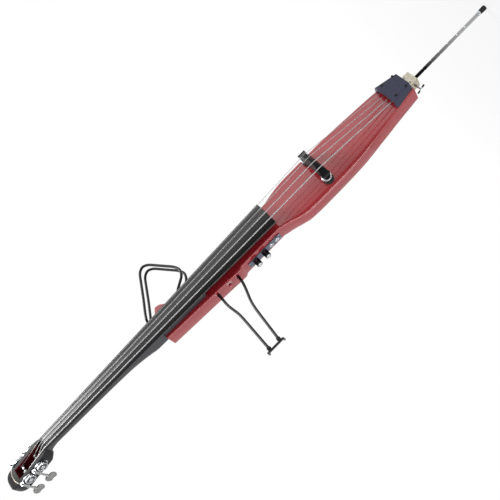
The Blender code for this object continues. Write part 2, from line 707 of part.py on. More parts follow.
def make_strings(material):
    for spec in STRING_SPECS:
        add_object(f"string_{spec[0]}", sweep(string_points(spec), spec[1], 6), material, sharp=60.0)
        print(f"string {spec[0]} least gap between turns {coil_gap(spec):.2f} mm")


def make_bridge(block, chrome, rubber, piezo):
    outline = []
    steps = 12
    for k in range(steps + 1):
        x = (BRIDGE_HALF - BRIDGE_CORNER) * (2.0 * k / steps - 1.0)
        outline.append((x, crest_y(x)))
    half, leg_in, leg_out = BRIDGE_HALF, LEG_X - LEG_HALF, LEG_X + LEG_HALF
    outline.extend(((half, BRIDGE_SHOULDER_Y), (leg_out, LEG_FOOT_Y), (leg_in, LEG_FOOT_Y),
                    (leg_in - LEG_ARCH, BRIDGE_ARCH_Y), (-leg_in + LEG_ARCH, BRIDGE_ARCH_Y),
                    (-leg_in, LEG_FOOT_Y), (-leg_out, LEG_FOOT_Y), (-half, BRIDGE_SHOULDER_Y)))
    shape = prism(outline, "Z", BRIDGE_Z - BRIDGE_THICK / 2, BRIDGE_Z + BRIDGE_THICK / 2)
    for vert in shape.verts:
        x, y, z = vert.co
        rise = min(1.0, max(0.0, (y - BRIDGE_CREST_Y) / BRIDGE_FLARE))
        leg = LEG_TAPER if y > LEG_FOOT_Y - 1.0 else 1.0
        width = BRIDGE_CREST_THICK + (BRIDGE_THICK - BRIDGE_CREST_THICK) * rise
        vert.co.z = BRIDGE_Z + math.copysign(width / 2 * leg, z - BRIDGE_Z)
    bridge = add_object("bridge", shape, block, origin=(0, LEG_FOOT_Y, BRIDGE_Z))
    for side, sign in (("bass", -1.0), ("treble", 1.0)):
        centre = (sign * LEG_X, 0, BRIDGE_Z)
        wheel_top = LEG_FOOT_Y + GAP
        wheel_low = wheel_top + WHEEL_THICK
        cut(bridge, f"cut_leg_{side}", turned(((LEG_FOOT_Y - STUD_RISE - 1.0, STUD_R + GAP),
                                               (LEG_FOOT_Y + OVERCUT, STUD_R + GAP)), centre, (0, 1, 0)))
        wheel = turned(((LEG_FOOT_Y - STUD_RISE, STUD_R), (wheel_top, STUD_R), (wheel_top + STEP, WHEEL_R),
                        (wheel_low, WHEEL_R), (wheel_low + STEP, STUD_R), (FOOT_TOP_Y + STUD_SINK, STUD_R)),
                       centre, (0, 1, 0), 32)
        add_object(f"bridge_wheel_{side}", wheel, chrome, origin=(sign * LEG_X, wheel_top, BRIDGE_Z))
        foot = turned(((FOOT_TOP_Y, FOOT_R - 1.0), (FOOT_TOP_Y + 1.0, FOOT_R), (-20.0, FOOT_R)),
                      centre, (0, 1, 0), 32)
        for vert in foot.verts:
            if vert.co.y > FOOT_TOP_Y + 2.0:
                vert.co.y = body_front_y(vert.co.x, BRIDGE_Z) - GAP - 0.1
        foot_item = add_object(f"bridge_foot_{side}", foot, rubber)
        cut(foot_item, f"cut_foot_{side}", turned(((FOOT_TOP_Y - OVERCUT, STUD_R + GAP), (0.0, STUD_R + GAP)),
                                                  centre, (0, 1, 0)))
    pickup_top = BRIDGE_ARCH_Y + GAP
    add_object("bridge_pickup", box((-PICKUP_HALF, PICKUP_HALF), (pickup_top, pickup_top + PICKUP_THICK),
                                    (BRIDGE_Z - PICKUP_HALF_Z, BRIDGE_Z + PICKUP_HALF_Z)), piezo)


def make_tail(cover_plastic, steel, cast, dark):
    def block(inset, back, head, tail):
        """Tapered block of the cover: inset shrinks it on the sides and the front."""
        rings = []
        for z, half, front in ((tail, COVER_HALF_TAIL, COVER_FRONT_TAIL),
                               (head, COVER_HALF_HEAD, COVER_FRONT_HEAD)):
            w = half - inset
            f = front + inset
            foot = w + COVER_FLARE
            rings.append([(-w + COVER_CORNER, f, z), (w - COVER_CORNER, f, z), (w, f + COVER_CORNER, z),
                          (foot, back, z), (-foot, back, z), (-w, f + COVER_CORNER, z)])
        return loft(rings)
    rest_y = BODY_FRONT - GAP
    cover = add_object("tail_cover", block(0.0, rest_y, COVER_HEAD_Z, COVER_TAIL_Z), cover_plastic)
    cut(cover, "cut_cover_inside", block(COVER_WALL, rest_y + COVER_OPEN, COVER_HEAD_Z - COVER_WALL,
                                         COVER_TAIL_Z + COVER_WALL))
    gate_half = COVER_HALF_HEAD - COVER_GATE_IN
    cut(cover, "cut_cover_gate", box((-gate_half, gate_half), (COVER_GATE_Y, rest_y + COVER_OPEN),
                                     (COVER_HEAD_Z - 2.0 * COVER_WALL, COVER_HEAD_Z + 2.0 * COVER_WALL)))
    anchor = add_object("tailpiece", box((-TAILPIECE_HALF, TAILPIECE_HALF), (TAILPIECE_FRONT, rest_y),
                                         TAILPIECE_Z), dark)
    for i, (x, z) in enumerate(cover_screw_places()):
        share = (z - COVER_TAIL_Z) / (COVER_HEAD_Z - COVER_TAIL_Z)
        top = COVER_FRONT_TAIL + (COVER_FRONT_HEAD - COVER_FRONT_TAIL) * share
        seat = top + SCREW_HEAD_THICK
        shank = turned(((top - 3.0, SCREW_HEAD_R + GAP), (seat, SCREW_HEAD_R + GAP),
                        (seat + STEP, SCREW_R + GAP), (SCREW_END_Y, SCREW_R + GAP)), (x, 0, z), (0, 1, 0))
        cut(cover, f"cut_screw_{i}", shank)
        through = turned(((-60.0, SCREW_R + GAP), (SCREW_END_Y, SCREW_R + GAP)), (x, 0, z), (0, 1, 0))
        cut(anchor, f"cut_anchor_{i}", through)
        under_head = seat - GAP
        screw = turned(((top - 0.3, SCREW_HEAD_R - 0.6), (top, SCREW_HEAD_R), (under_head, SCREW_HEAD_R),
                        (under_head + STEP, SCREW_R), (SCREW_END_Y - 0.5, SCREW_R)), (x, 0, z), (0, 1, 0))
        add_object(f"cover_screw_{i + 1}", screw, steel)
    bracket = add_object("endpin_bracket", box((-BRACKET_HALF_X, BRACKET_HALF_X),
                                               (BRACKET_FRONT, BRACKET_BACK),
                                               (BRACKET_BOTTOM, BODY_TAIL_Z - GAP)), cast)
    cut(bracket, "cut_bracket_bore", turned(((BRACKET_BOTTOM - OVERCUT, ROD_R + GAP),
                                             (BODY_TAIL_Z + OVERCUT, ROD_R + GAP)), (0, 0, 0), (0, 0, 1)))
    cut(bracket, "cut_bracket_screw", turned(((ROD_R - 2.0, TSCREW_R + GAP),
                                              (BRACKET_HALF_X + OVERCUT, TSCREW_R + GAP)),
                                             (0, 0, TSCREW_Z), (-1, 0, 0)))
    screw = add_object("endpin_screw", turned(((ROD_R + GAP + 0.1, TSCREW_R), (TSCREW_OUT, TSCREW_R)),
                                              (0, 0, TSCREW_Z), (-1, 0, 0)), dark,
                       origin=(-BRACKET_HALF_X, 0, TSCREW_Z))
    bar = turned(((-TSCREW_BAR / 2, TSCREW_BAR_R), (TSCREW_BAR / 2, TSCREW_BAR_R)),
                 (-TSCREW_OUT, 0, TSCREW_Z), TSCREW_LEAN, 12)
    cut(screw, "join_tscrew_bar", bar, "UNION")
    profile = [(ROD_BOTTOM, ROD_R)]
    floor_r = ROD_R - NOTCH_DEPTH
    for z in NOTCH_Z:
        profile += [(z - NOTCH_HALF, ROD_R), (z - NOTCH_FLOOR, floor_r),
                    (z + NOTCH_FLOOR, floor_r), (z + NOTCH_HALF, ROD_R)]
    profile += [(ROD_TOP - ROD_CHAMFER, ROD_R), (ROD_TOP, ROD_R - ROD_CHAMFER)]
    add_object("endpin_rod", turned(profile, (0, 0, 0), (0, 0, 1)), steel)
    ferrule = add_object("endpin_ferrule",
                         turned(((TIP_TOP + GAP, FERRULE_R), (FERRULE_TOP - 1.5, FERRULE_R),
                                 (FERRULE_TOP, ROD_R + 0.8)), (0, 0, 0), (0, 0, 1)), steel)
    cut(ferrule, "cut_ferrule", turned(((0.0, ROD_R + GAP), (60.0, ROD_R + GAP)), (0, 0, 0), (0, 0, 1)))
    tip = add_object("endpin_tip", turned(((0.0, 5.5), (2.0, TIP_R), (TIP_TOP, TIP_R - 1.0)),
                                          (0, 0, 0), (0, 0, 1)), dark)
    cut(tip, "cut_tip", turned(((ROD_BOTTOM - GAP, ROD_R + GAP), (60.0, ROD_R + GAP)),
                               (0, 0, 0), (0, 0, 1)))


def make_controls(panel_metal, knob_plastic, chrome):
    x_in = RECESS_X - GAP
    x_out = x_in - PANEL_THICK
    panel = add_object("control_panel", box((x_out, x_in), PANEL_Y, PANEL_Z), panel_metal)
    for i, z in enumerate(KNOB_Z):
        cut(panel, f"cut_panel_pot_{i}", control_hole(POT_BUSH_R + GAP, z))
        face = x_out - 0.5
        knob = turned(((0.0, KNOB_R), (KNOB_LENGTH - 1.5, KNOB_R - 0.8), (KNOB_LENGTH, KNOB_R - 2.5)),
                      (face, CONTROL_Y, z), (-1, 0, 0), 32)
        name = ("volume", "tone")[i]
        item = add_object(f"knob_{name}", knob, knob_plastic, origin=(face, CONTROL_Y, z))
        cut(item, f"join_stem_{name}", turned(((-22.0, KNOB_STEM_R), (3.0, KNOB_STEM_R)),
                                              (face, CONTROL_Y, z), (-1, 0, 0)), "UNION")
        case_end = -CAVITY_X + GAP
        pot = turned(((-CAVITY_X + POT_CASE_LENGTH, POT_CASE_R), (case_end, POT_CASE_R),
                      (case_end - STEP, POT_BUSH_R), (x_out + 0.1, POT_BUSH_R)),
                     (0, CONTROL_Y, z), (1, 0, 0))
        pot_item = add_object(f"potentiometer_{name}", pot, chrome)
        cut(pot_item, f"cut_pot_stem_{name}", turned(((-60.0, KNOB_STEM_R + GAP), (-22.0, KNOB_STEM_R + GAP)),
                                                     (0, CONTROL_Y, z), (1, 0, 0)))
    for i, z in enumerate(JACK_Z):
        cut(panel, f"cut_panel_jack_{i}", control_hole(JACK_R + GAP, z))
        name = ("line", "headphone")[i]
        collar_x = x_out - GAP
        jack = turned(((JACK_INNER_X, JACK_R), (collar_x + STEP, JACK_R), (collar_x, JACK_R + 2.0),
                       (x_out - 3.0, JACK_R + 1.5)), (0, CONTROL_Y, z), (1, 0, 0))
        item = add_object(f"jack_{name}", jack, chrome)
        cut(item, f"cut_jack_bore_{name}", turned(((-70.0, JACK_BORE_R), (JACK_FLOOR_X, JACK_BORE_R)),
                                                  (0, CONTROL_Y, z), (1, 0, 0)))


def make_knee_rest(tube, collar):
    for name, path in (("upper", REST_UPPER), ("lower", REST_LOWER)):
        points = [(-REST_SOCKET, REST_Y, path[0][1])]
        points += [(x, REST_Y, z) for x, z in path]
        add_object(f"knee_rest_rod_{name}", sweep(rounded_path(points, 16.0, 3), TUBE_R, 10), tube)
        end = Vector((path[-1][0], REST_Y, path[-1][1]))
        way = end - Vector((path[-2][0], REST_Y, path[-2][1]))
        ring = add_object(f"knee_rest_collar_{name}",
                          turned(((-1.0 - COLLAR_LENGTH, TUBE_R + COLLAR_WALL),
                                  (-1.0, TUBE_R + COLLAR_WALL)), end, way), collar)
        cut(ring, f"cut_collar_{name}", turned(((-20.0, TUBE_R + GAP), (20.0, TUBE_R + GAP)), end, way))
    low = REST_LOWER[-1][1] - PAD_OVERHANG
    high = REST_UPPER[-1][1] + PAD_OVERHANG
    hook = [(PAD_X + 4.0, REST_Y + PAD_HOOK, low), (PAD_X + 2.0, REST_Y + 3.0, low),
            (PAD_X, REST_Y, low + PAD_RISE), (PAD_X, REST_Y, high - PAD_RISE),
            (PAD_X + 2.0, REST_Y + 3.0, high), (PAD_X + 4.0, REST_Y + PAD_HOOK, high)]
    add_object("knee_rest_bar", sweep(rounded_path(hook, 6.0, 2), REST_BAR_R, 8), tube)


def make_bout_frame(tube):
    front = [(x, -FRAME_Y, z) for x, z in FRAME_PATH]
    back = [(x, FRAME_Y, z) for x, z in reversed(FRAME_PATH)]
    add_object("bout_frame", sweep(rounded_path([*front, *FRAME_TURN, *back], 12.0, 2), TUBE_R), tube)


def main():
    for item in list(bpy.data.objects):
        bpy.data.objects.remove(item, do_unlink=True)
    red = finish("red_lacquer", "9E1F2C", 0.12)
    black = finish("black_lacquer", "141416", 0.25)
    enamel = finish("black_enamel", "0E0E11", 0.15)
    knob_black = finish("black_plastic", "0C0C12", 0.25)
    ebony = finish("ebony", "1B1A1C", 0.35)
    nut_black = finish("nut_black", "202022", 0.4)
    steel = finish("nickel_plate", "B9BABD", 0.2, 1.0)
    chrome = finish("chrome", "D5D7DA", 0.08, 1.0)
    wire = finish("string_steel", "A9AAAC", 0.3, 1.0)
    slate = finish("slate_plastic", "2B3140", 0.45)
    cast = finish("cast_zinc", "C9C3B4", 0.35, 0.8)
    rubber = finish("black_rubber", "121212", 0.7)
    panel = finish("panel_aluminium", "6E7684", 0.4, 0.7)
    green = finish("circuit_board", "1E5A38", 0.5)
    cell = finish("battery_case", "3A3A3C", 0.4)
    make_body(red)
    make_back_pieces(slate, steel, green, cell)
    make_neck(black)
    make_fingerboard(ebony)
    make_nut(nut_black)
    make_pegbox(black)
    for index, spec in enumerate(STRING_SPECS):
        make_machine(index, -1.0 if spec[2] < 0.0 else 1.0, spec[5], chrome, steel)
    make_strings(wire)
    make_bridge(black, chrome, rubber, cast)
    make_tail(slate, steel, cast, rubber)
    make_controls(panel, knob_black, chrome)
    make_knee_rest(enamel, rubber)
    make_bout_frame(enamel)


main()
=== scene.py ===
"""Looks of an electric double bass: red lacquered body, black neck and head, nickel tuning
machines, chrome bridge wheels, endpin, knee rest and bout frame, in a white studio.

Sizes are millimetres until a mesh is made, +Z runs from the endpin's foot to the head, the
strings face -Y and the treble side is +X, as in the frame.
"""
import math

import bmesh
import bpy
from mathutils import Matrix, Vector


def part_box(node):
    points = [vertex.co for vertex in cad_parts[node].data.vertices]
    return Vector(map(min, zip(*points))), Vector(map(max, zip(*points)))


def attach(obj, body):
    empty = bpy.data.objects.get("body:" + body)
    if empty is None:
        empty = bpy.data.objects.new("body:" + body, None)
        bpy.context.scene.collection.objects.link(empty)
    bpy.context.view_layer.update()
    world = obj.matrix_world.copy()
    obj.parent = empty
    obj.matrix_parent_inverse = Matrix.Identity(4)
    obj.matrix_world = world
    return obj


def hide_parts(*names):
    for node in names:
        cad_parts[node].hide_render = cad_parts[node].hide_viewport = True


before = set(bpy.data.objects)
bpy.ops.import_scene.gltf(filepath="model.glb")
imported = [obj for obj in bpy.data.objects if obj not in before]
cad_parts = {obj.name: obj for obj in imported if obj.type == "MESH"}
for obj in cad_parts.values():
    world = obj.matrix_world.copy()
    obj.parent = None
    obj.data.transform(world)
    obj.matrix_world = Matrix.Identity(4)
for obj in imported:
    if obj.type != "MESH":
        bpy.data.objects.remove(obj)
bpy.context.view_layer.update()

MM = 0.001


def frame_box(node):
    """Lowest and highest corner of a CAD node, in millimetres."""
    low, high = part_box(node)
    return low / MM, high / MM


# Places read from the frame
NUT_Z = frame_box("nut")[0].z
NUT_TOP_Z = frame_box("nut")[1].z
BOARD_END_Z = frame_box("fingerboard")[0].z
BODY_TAIL_Z = frame_box("body")[0].z
BODY_HEAD_Z = frame_box("body")[1].z
BODY_BACK = frame_box("body")[1].y
BRIDGE_Z = (frame_box("bridge")[0].z + frame_box("bridge")[1].z) / 2
HEAD_TOP_Z = frame_box("pegbox")[1].z

# Body
BODY_FRONT = -25.0
FRONT_ARCH = 7.0
ARCH_HALF_WIDTH = 71.0
BACK_ROUND = 5.0
RECESS_X = -43.5
GAP = 0.3

# Fingerboard, neck and head
PLANE_Y_NUT = -39.0
PLANE_Y_END = -51.5
BOARD_HALF_NUT = 21.5
BOARD_HALF_END = 43.0
BOARD_EDGE = 5.0
CAMBER_NUT = 60.0
CAMBER_END = 72.0
TENON_END_Z = 1113.0
HEEL_BACK = 1.0
NUT_RISE = 9.2
HEAD_HALF = 28.0
HEAD_TILT = 0.13
HEAD_FRONT = -44.0
SLOT_HALF = 16.0
SLOT_Z = (1734.0, 1834.0)
SLOT_DEPTH = 34.0
SLOT_LEAD = 12.0
BULB_Z = 1842.0

# Strings: name, radius, x at nut, x at bridge, x at tail, post row
STRING_SPECS = (
    ("e", 1.5, -15.4, -33.5, -24.0, 0),
    ("a", 1.2, -5.1, -11.2, -8.5, 1),
    ("d", 0.9, 5.1, 11.2, 8.5, 1),
    ("g", 0.7, 15.4, 33.5, 24.0, 0),
)
STRING_TURNS = 2.5
TAIL_STRING_Y = -32.0
TAIL_ANCHOR_Z = 350.0
BRIDGE_CREST_Y = -82.0
BRIDGE_CREST_RADIUS = 71.0

# Tuning machines
POST_ROWS = ((1812.0, -17.0), (1764.0, -19.0))
POST_R = 5.0
PLATE_X = 28.3
PLATE_THICK = 2.0
GEAR_X = 33.0
GEAR_THICK = 5.0
GEAR_R = 16.5
GEAR_TEETH = 20
THREAD_PITCH = 2.0 * math.pi * GEAR_R / GEAR_TEETH
WORM_X = 35.5
WORM_R = 5.0
WORM_OFFSET = 22.0
SHAFT_R = 3.0
EAR_HALF = 11.0
EAR_THICK = 4.0
KEY_Y = 46.0
KEY_HALF_Y = 19.0
KEY_HALF_Z = 18.0

# Tubes
TUBE_R = 4.0
REST_Y = -7.0
REST_UPPER = ((-24.0, 1090.0), (-62.0, 1090.0), (-90.0, 1092.0), (-132.0, 1085.0),
              (-154.0, 1085.0), (-277.0, 1089.5))
REST_LOWER = ((-24.0, 1016.0), (-62.0, 1016.0), (-90.0, 1023.0), (-132.0, 1038.0),
              (-160.0, 1043.0), (-277.0, 1054.5))
FRAME_Y = 15.0
FRAME_PATH = ((20.0, 1168.0), (58.0, 1168.0), (70.0, 1150.0), (85.0, 1128.0), (106.0, 1120.0),
              (126.0, 1127.0), (200.0, 1180.0), (209.0, 1197.0), (199.0, 1214.0),
              (120.0, 1256.0), (80.0, 1279.0))

# Camera, from the photograph's perspective
CAMERA_AZIMUTH = -34.0
CAMERA_DISTANCE = 2371.0
CAMERA_LEVEL = 941.4
CAMERA_SIDE = 7.75
CAMERA_LENS = 61.3
ROLL_ALONG = 0.7009
ROLL_ACROSS = 0.7133

# Height, half-width bass, half-width treble, arch share, edge radius
BODY_STATIONS = (
    (312.0, 40.0, 40.0, 0.0, 4.0), (332.0, 42.5, 42.5, 0.0, 5.0), (392.0, 49.0, 49.0, 0.1, 6.0),
    (430.0, 54.0, 54.0, 0.4, 7.0), (474.0, 59.5, 59.5, 0.7, 9.0), (515.0, 65.0, 65.0, 0.9, 11.0),
    (557.0, 69.0, 69.0, 1.0, 12.0), (612.0, 71.0, 71.5, 1.0, 12.0), (666.0, 71.5, 72.0, 1.0, 12.0),
    (710.0, 71.5, 72.0, 1.0, 12.0), (740.0, 70.5, 71.5, 1.0, 12.0), (761.0, 68.5, 69.5, 1.0, 11.0),
    (780.0, 63.5, 65.0, 0.9, 10.0), (800.0, 56.5, 59.0, 0.6, 8.0), (818.0, 50.5, 52.5, 0.3, 6.0),
    (835.0, 46.5, 48.5, 0.0, 5.0), (845.0, 43.5, 47.5, 0.0, 4.0), (988.0, 43.5, 47.0, 0.0, 4.0),
    (1000.0, 49.5, 46.5, 0.0, 4.0), (1060.0, 46.5, 45.0, 0.0, 4.0), (1113.0, 44.0, 43.0, 0.0, 4.0),
    (1205.0, 39.5, 40.0, 0.0, 4.0), (1219.0, 38.8, 57.0, 0.0, 4.0), (1231.0, 38.2, 66.0, 0.0, 4.0),
    (1243.0, 37.6, 68.5, 0.0, 4.0), (1254.0, 37.0, 57.0, 0.0, 4.0), (1262.0, 36.6, 41.0, 0.0, 4.0),
    (1272.0, 36.0, 36.0, 0.0, 4.0),
)


def linear(hex_colour):
    """Linear RGBA from an sRGB hex colour."""
    channels = [int(hex_colour[i:i + 2], 16) / 255.0 for i in (0, 2, 4)]
    return tuple(c / 12.92 if c <= 0.04045 else ((c + 0.055) / 1.055) ** 2.4 for c in channels) + (1.0,)


def add_node(tree, kind, settings=None, links=None):
    """One shader node with its settings and the sockets linked into it."""
    node = tree.nodes.new(kind)
    for key, value in (settings or {}).items():
        if isinstance(key, int) or key in node.inputs:
            node.inputs[key].default_value = value
        else:
            setattr(node, key, value)
    for key, source in (links or {}).items():
        tree.links.new(source, node.inputs[key])
    return node


def plain_finish(name, colour, roughness, metallic=0.0, coat=0.0, ior=1.5):
    """A Principled material to build on, and its shader node."""
    material = bpy.data.materials.new(name)
    material.use_nodes = True
    shader = material.node_tree.nodes["Principled BSDF"]
    shader.inputs["Base Color"].default_value = linear(colour)
    shader.inputs["Roughness"].default_value = roughness
    shader.inputs["Metallic"].default_value = metallic
    if metallic == 0.0:
        shader.inputs["IOR"].default_value = ior
    shader.inputs["Coat Weight"].default_value = coat
    return material, shader


def mottle(material, shader, dark, light, scale_mm, stretch=(1.0, 1.0, 1.0), detail=4.0):
    """Colour that drifts between two shades in patches of about scale_mm."""
    tree = material.node_tree
    place = add_node(tree, "ShaderNodeTexCoord")
    mapping = add_node(tree, "ShaderNodeMapping", {"Scale": stretch}, {"Vector": place.outputs["Object"]})
    noise = add_node(tree, "ShaderNodeTexNoise", {"Scale": 1000.0 / scale_mm, "Detail": detail},
                     {"Vector": mapping.outputs["Vector"]})
    ramp = add_node(tree, "ShaderNodeValToRGB", links={"Fac": noise.outputs["Fac"]})
    ramp.color_ramp.elements[0].position = 0.35
    ramp.color_ramp.elements[1].position = 0.65
    ramp.color_ramp.elements[0].color = linear(dark)
    ramp.color_ramp.elements[1].color = linear(light)
    tree.links.new(ramp.outputs["Color"], shader.inputs["Base Color"])
    return noise


def roughen(material, shader, scale_mm, height_mm, strength=1.0, stretch=(1.0, 1.0, 1.0)):
    """Fine bump in grains of about scale_mm."""
    tree = material.node_tree
    place = add_node(tree, "ShaderNodeTexCoord")
    mapping = add_node(tree, "ShaderNodeMapping", {"Scale": stretch}, {"Vector": place.outputs["Object"]})
    noise = add_node(tree, "ShaderNodeTexNoise", {"Scale": 1000.0 / scale_mm, "Detail": 3.0},
                     {"Vector": mapping.outputs["Vector"]})
    bump = add_node(tree, "ShaderNodeBump", {"Strength": strength, "Distance": height_mm * MM},
                    {"Height": noise.outputs["Fac"]})
    tree.links.new(bump.outputs["Normal"], shader.inputs["Normal"])
    return noise


def vary_roughness(material, shader, noise, low, high):
    """Polish that drifts between two roughnesses with a noise."""
    tree = material.node_tree
    spread = add_node(tree, "ShaderNodeMapRange", {"From Min": 0.3, "From Max": 0.7, "To Min": low,
                                                   "To Max": high}, {"Value": noise.outputs["Fac"]})
    tree.links.new(spread.outputs["Result"], shader.inputs["Roughness"])


def red_lacquer():
    """Sprayed translucent red over maple, polished: deep colour under a mirror-like clear coat."""
    material, shader = plain_finish("red_lacquer_on_maple", "A81824", 0.45, coat=1.0)
    shader.inputs["Coat Roughness"].default_value = 0.04
    shader.inputs["Coat IOR"].default_value = 1.6
    mottle(material, shader, "A01521", "B21E2A", 60.0, (1.0, 1.0, 0.25))
    return material


def slot_red_painted_shade():
    """Red stain inside the head's slot, without the clear coat, its colour darkened as painted shade for the deep slot:
    even and slightly dull.
    """
    # Painted shade: the red is darker than the body's to stand in for the shade down the deep slot.
    material, shader = plain_finish("red_stain_darkened_as_painted_shade", "6A0C1A", 0.5)
    noise = mottle(material, shader, "5C0A16", "78101F", 12.0, (1.0, 1.0, 0.3))
    vary_roughness(material, shader, noise, 0.42, 0.58)
    return material


def black_lacquer():
    """Satin black lacquer over maple, as on the neck and head: soft broad reflections."""
    material, shader = plain_finish("satin_black_lacquer", "0C0C12", 0.4, coat=0.0, ior=1.33)
    shader.inputs["Coat Roughness"].default_value = 0.2
    mottle(material, shader, "0E0E12", "15151A", 25.0, (1.0, 1.0, 0.2))
    return material


def neck_paint_painted_sheen():
    """The neck's black satin paint, coloured dark grey as a painted sheen: dull, so the hand slides."""
    # Painted sheen: the black paint is given a dark grey colour.
    material, shader = plain_finish("black_neck_paint_greyed_as_painted_sheen", "3A393F", 0.5)
    noise = mottle(material, shader, "333238", "414047", 18.0, (1.0, 1.0, 0.2))
    vary_roughness(material, shader, noise, 0.44, 0.56)
    return material


def ebony():
    """Oiled ebony: near-black with faint brown streaks along the grain, 2 mm apart."""
    material, shader = plain_finish("oiled_ebony", "0D0D10", 0.34, ior=1.7)
    mottle(material, shader, "09090C", "141214", 2.0, (1.0, 1.0, 0.02))
    noise = roughen(material, shader, 0.8, 0.05, 0.4, (1.0, 1.0, 0.03))
    vary_roughness(material, shader, noise, 0.26, 0.36)
    return material


def nut_plastic():
    """Filled black nut, sanded."""
    material, shader = plain_finish("sanded_black_nut", "202024", 0.45)
    roughen(material, shader, 0.6, 0.03, 0.4)
    return material


def polished_chrome():
    """Chrome plate: bluish, mirror-like, with slight handling haze."""
    material, shader = plain_finish("chrome_plate", "D2D6DA", 0.08, metallic=1.0)
    noise = roughen(material, shader, 6.0, 0.01, 0.15)
    vary_roughness(material, shader, noise, 0.05, 0.14)
    return material


def brushed_nickel():
    """Nickel plate with a brushed grain, as on the keys: warm grey and dull."""
    material, shader = plain_finish("brushed_nickel", "939492", 0.32, metallic=1.0)
    noise = mottle(material, shader, "868785", "9E9F9D", 5.0)
    vary_roughness(material, shader, noise, 0.26, 0.42)
    return material


def ground_steel():
    """Centreless ground steel rod with a plated finish."""
    material, shader = plain_finish("ground_steel_rod", "BFC0C2", 0.16, metallic=1.0)
    noise = roughen(material, shader, 0.5, 0.01, 0.25, (1.0, 1.0, 6.0))
    vary_roughness(material, shader, noise, 0.12, 0.2)
    return material


def endpin_rod_painted_reflection():
    """The endpin's rod: bright steel low down, its colour painted dark over the upper part towards the bracket as a
    painted dark reflection.
    """
    material, shader = plain_finish("steel_rod_with_painted_dark_reflection", "8F9194", 0.22, metallic=1.0)
    tree = material.node_tree
    place = add_node(tree, "ShaderNodeTexCoord")
    split = add_node(tree, "ShaderNodeSeparateXYZ", links={"Vector": place.outputs["Object"]})
    # Painted reflection: the colour turns from bright steel at 0.1 m up the rod to near black from 0.24 m.
    fade = add_node(tree, "ShaderNodeMapRange", {"From Min": 0.1, "From Max": 0.24}, {"Value": split.outputs["Z"]})
    painted_reflection_ramp = add_node(tree, "ShaderNodeValToRGB", links={"Fac": fade.outputs["Result"]})
    painted_reflection_ramp.color_ramp.elements[0].color = linear("B9BBBD")
    painted_reflection_ramp.color_ramp.elements[1].color = linear("17171A")
    tree.links.new(painted_reflection_ramp.outputs["Color"], shader.inputs["Base Color"])
    noise = roughen(material, shader, 0.5, 0.01, 0.25, (1.0, 1.0, 6.0))
    vary_roughness(material, shader, noise, 0.14, 0.28)
    return material


def flat_wound_steel():
    """Flat-wound string: steel ribbon ground smooth, its joints seen as bands of duller polish."""
    material, shader = plain_finish("flat_wound_steel", "BDBCBC", 0.4, metallic=1.0)
    tree = material.node_tree
    place = add_node(tree, "ShaderNodeTexCoord")
    wave = add_node(tree, "ShaderNodeTexWave", {"wave_type": "BANDS", "bands_direction": "Z",
                                                "Scale": 260.0}, {"Vector": place.outputs["Object"]})
    spread = add_node(tree, "ShaderNodeMapRange", {"To Min": 0.36, "To Max": 0.5}, {"Value": wave.outputs["Fac"]})
    tree.links.new(spread.outputs["Result"], shader.inputs["Roughness"])
    return material


def slate_abs():
    """Moulded ABS with a spark-eroded texture, blue-black: small even grain and a soft shine."""
    material, shader = plain_finish("slate_blue_abs", "33364E", 0.42)
    noise = roughen(material, shader, 0.9, 0.05, 0.35)
    vary_roughness(material, shader, noise, 0.36, 0.5)
    return material


def back_abs():
    """Moulded black ABS of the covers on the back."""
    material, shader = plain_finish("black_abs", "1B1B1E", 0.5)
    roughen(material, shader, 0.9, 0.05, 0.4)
    return material


def blasted_zinc():
    """Cream-grey zinc casting with a nickel wash: rounded, faintly grainy."""
    material, shader = plain_finish("nickel_washed_zinc", "D2C9B6", 0.3, metallic=0.9)
    noise = mottle(material, shader, "C8BFAC", "DDD5C4", 7.0)
    vary_roughness(material, shader, noise, 0.22, 0.36)
    return material


def anodised_panel():
    """Blue-grey anodised aluminium sheet, fine brushed along its length."""
    material, shader = plain_finish("blue_grey_anodised_aluminium", "6B7180", 0.36, metallic=0.7)
    roughen(material, shader, 0.5, 0.02, 0.4, (1.0, 1.0, 0.05))
    return material


def gloss_black_tube():
    """Powder-coated steel tube, gloss black with a faint orange peel 3 mm across."""
    material, shader = plain_finish("gloss_black_powder_coat", "08080A", 0.16, coat=0.0)
    roughen(material, shader, 3.0, 0.01, 0.15)
    return material


def knob_plastic():
    """Turned black acetal knob, polished on the end."""
    material, shader = plain_finish("black_acetal", "0C0C12", 0.2)
    roughen(material, shader, 0.7, 0.02, 0.2)
    return material


def vulcanised_rubber():
    """Black rubber with a bloom: matt, with pale worn patches."""
    material, shader = plain_finish("vulcanised_rubber", "121213", 0.75)
    noise = mottle(material, shader, "0F0F10", "1D1D1E", 4.0)
    vary_roughness(material, shader, noise, 0.65, 0.85)
    return material


def jack_painted_shade():
    """Painted shade: a near-black sheet down a jack's throat."""
    material, shader = plain_finish("painted_shade_in_jack_throat", "0A0A0A", 0.6)
    roughen(material, shader, 1.0, 0.02, 0.3)
    return material


def circuit_green():
    """Green solder mask over copper."""
    material, shader = plain_finish("green_solder_mask", "1E5A38", 0.35)
    mottle(material, shader, "1A5233", "236642", 4.0)
    return material


def loft(rings):
    """Skin rings with equal point counts into one closed shape."""
    shape = bmesh.new()
    rows = [[shape.verts.new(point) for point in ring] for ring in rings]
    count = len(rows[0])
    for lower, upper in zip(rows, rows[1:]):
        for i in range(count):
            j = (i + 1) % count
            shape.faces.new((lower[i], lower[j], upper[j], upper[i]))
    shape.faces.new(rows[0])
    shape.faces.new(rows[-1])
    return shape


def prism(outline, axis, low, high):
    """Push an outline along X, Y or Z between two levels."""
    def place(point, level):
        spots = {"X": (level, point[0], point[1]),
                 "Y": (point[0], level, point[1]),
                 "Z": (point[0], point[1], level)}
        return spots[axis]
    return loft([[place(p, low) for p in outline], [place(p, high) for p in outline]])


def block(x_range, y_range, z_range):
    corners = ((x_range[0], y_range[0]), (x_range[1], y_range[0]),
               (x_range[1], y_range[1]), (x_range[0], y_range[1]))
    return prism(corners, "Z", z_range[0], z_range[1])


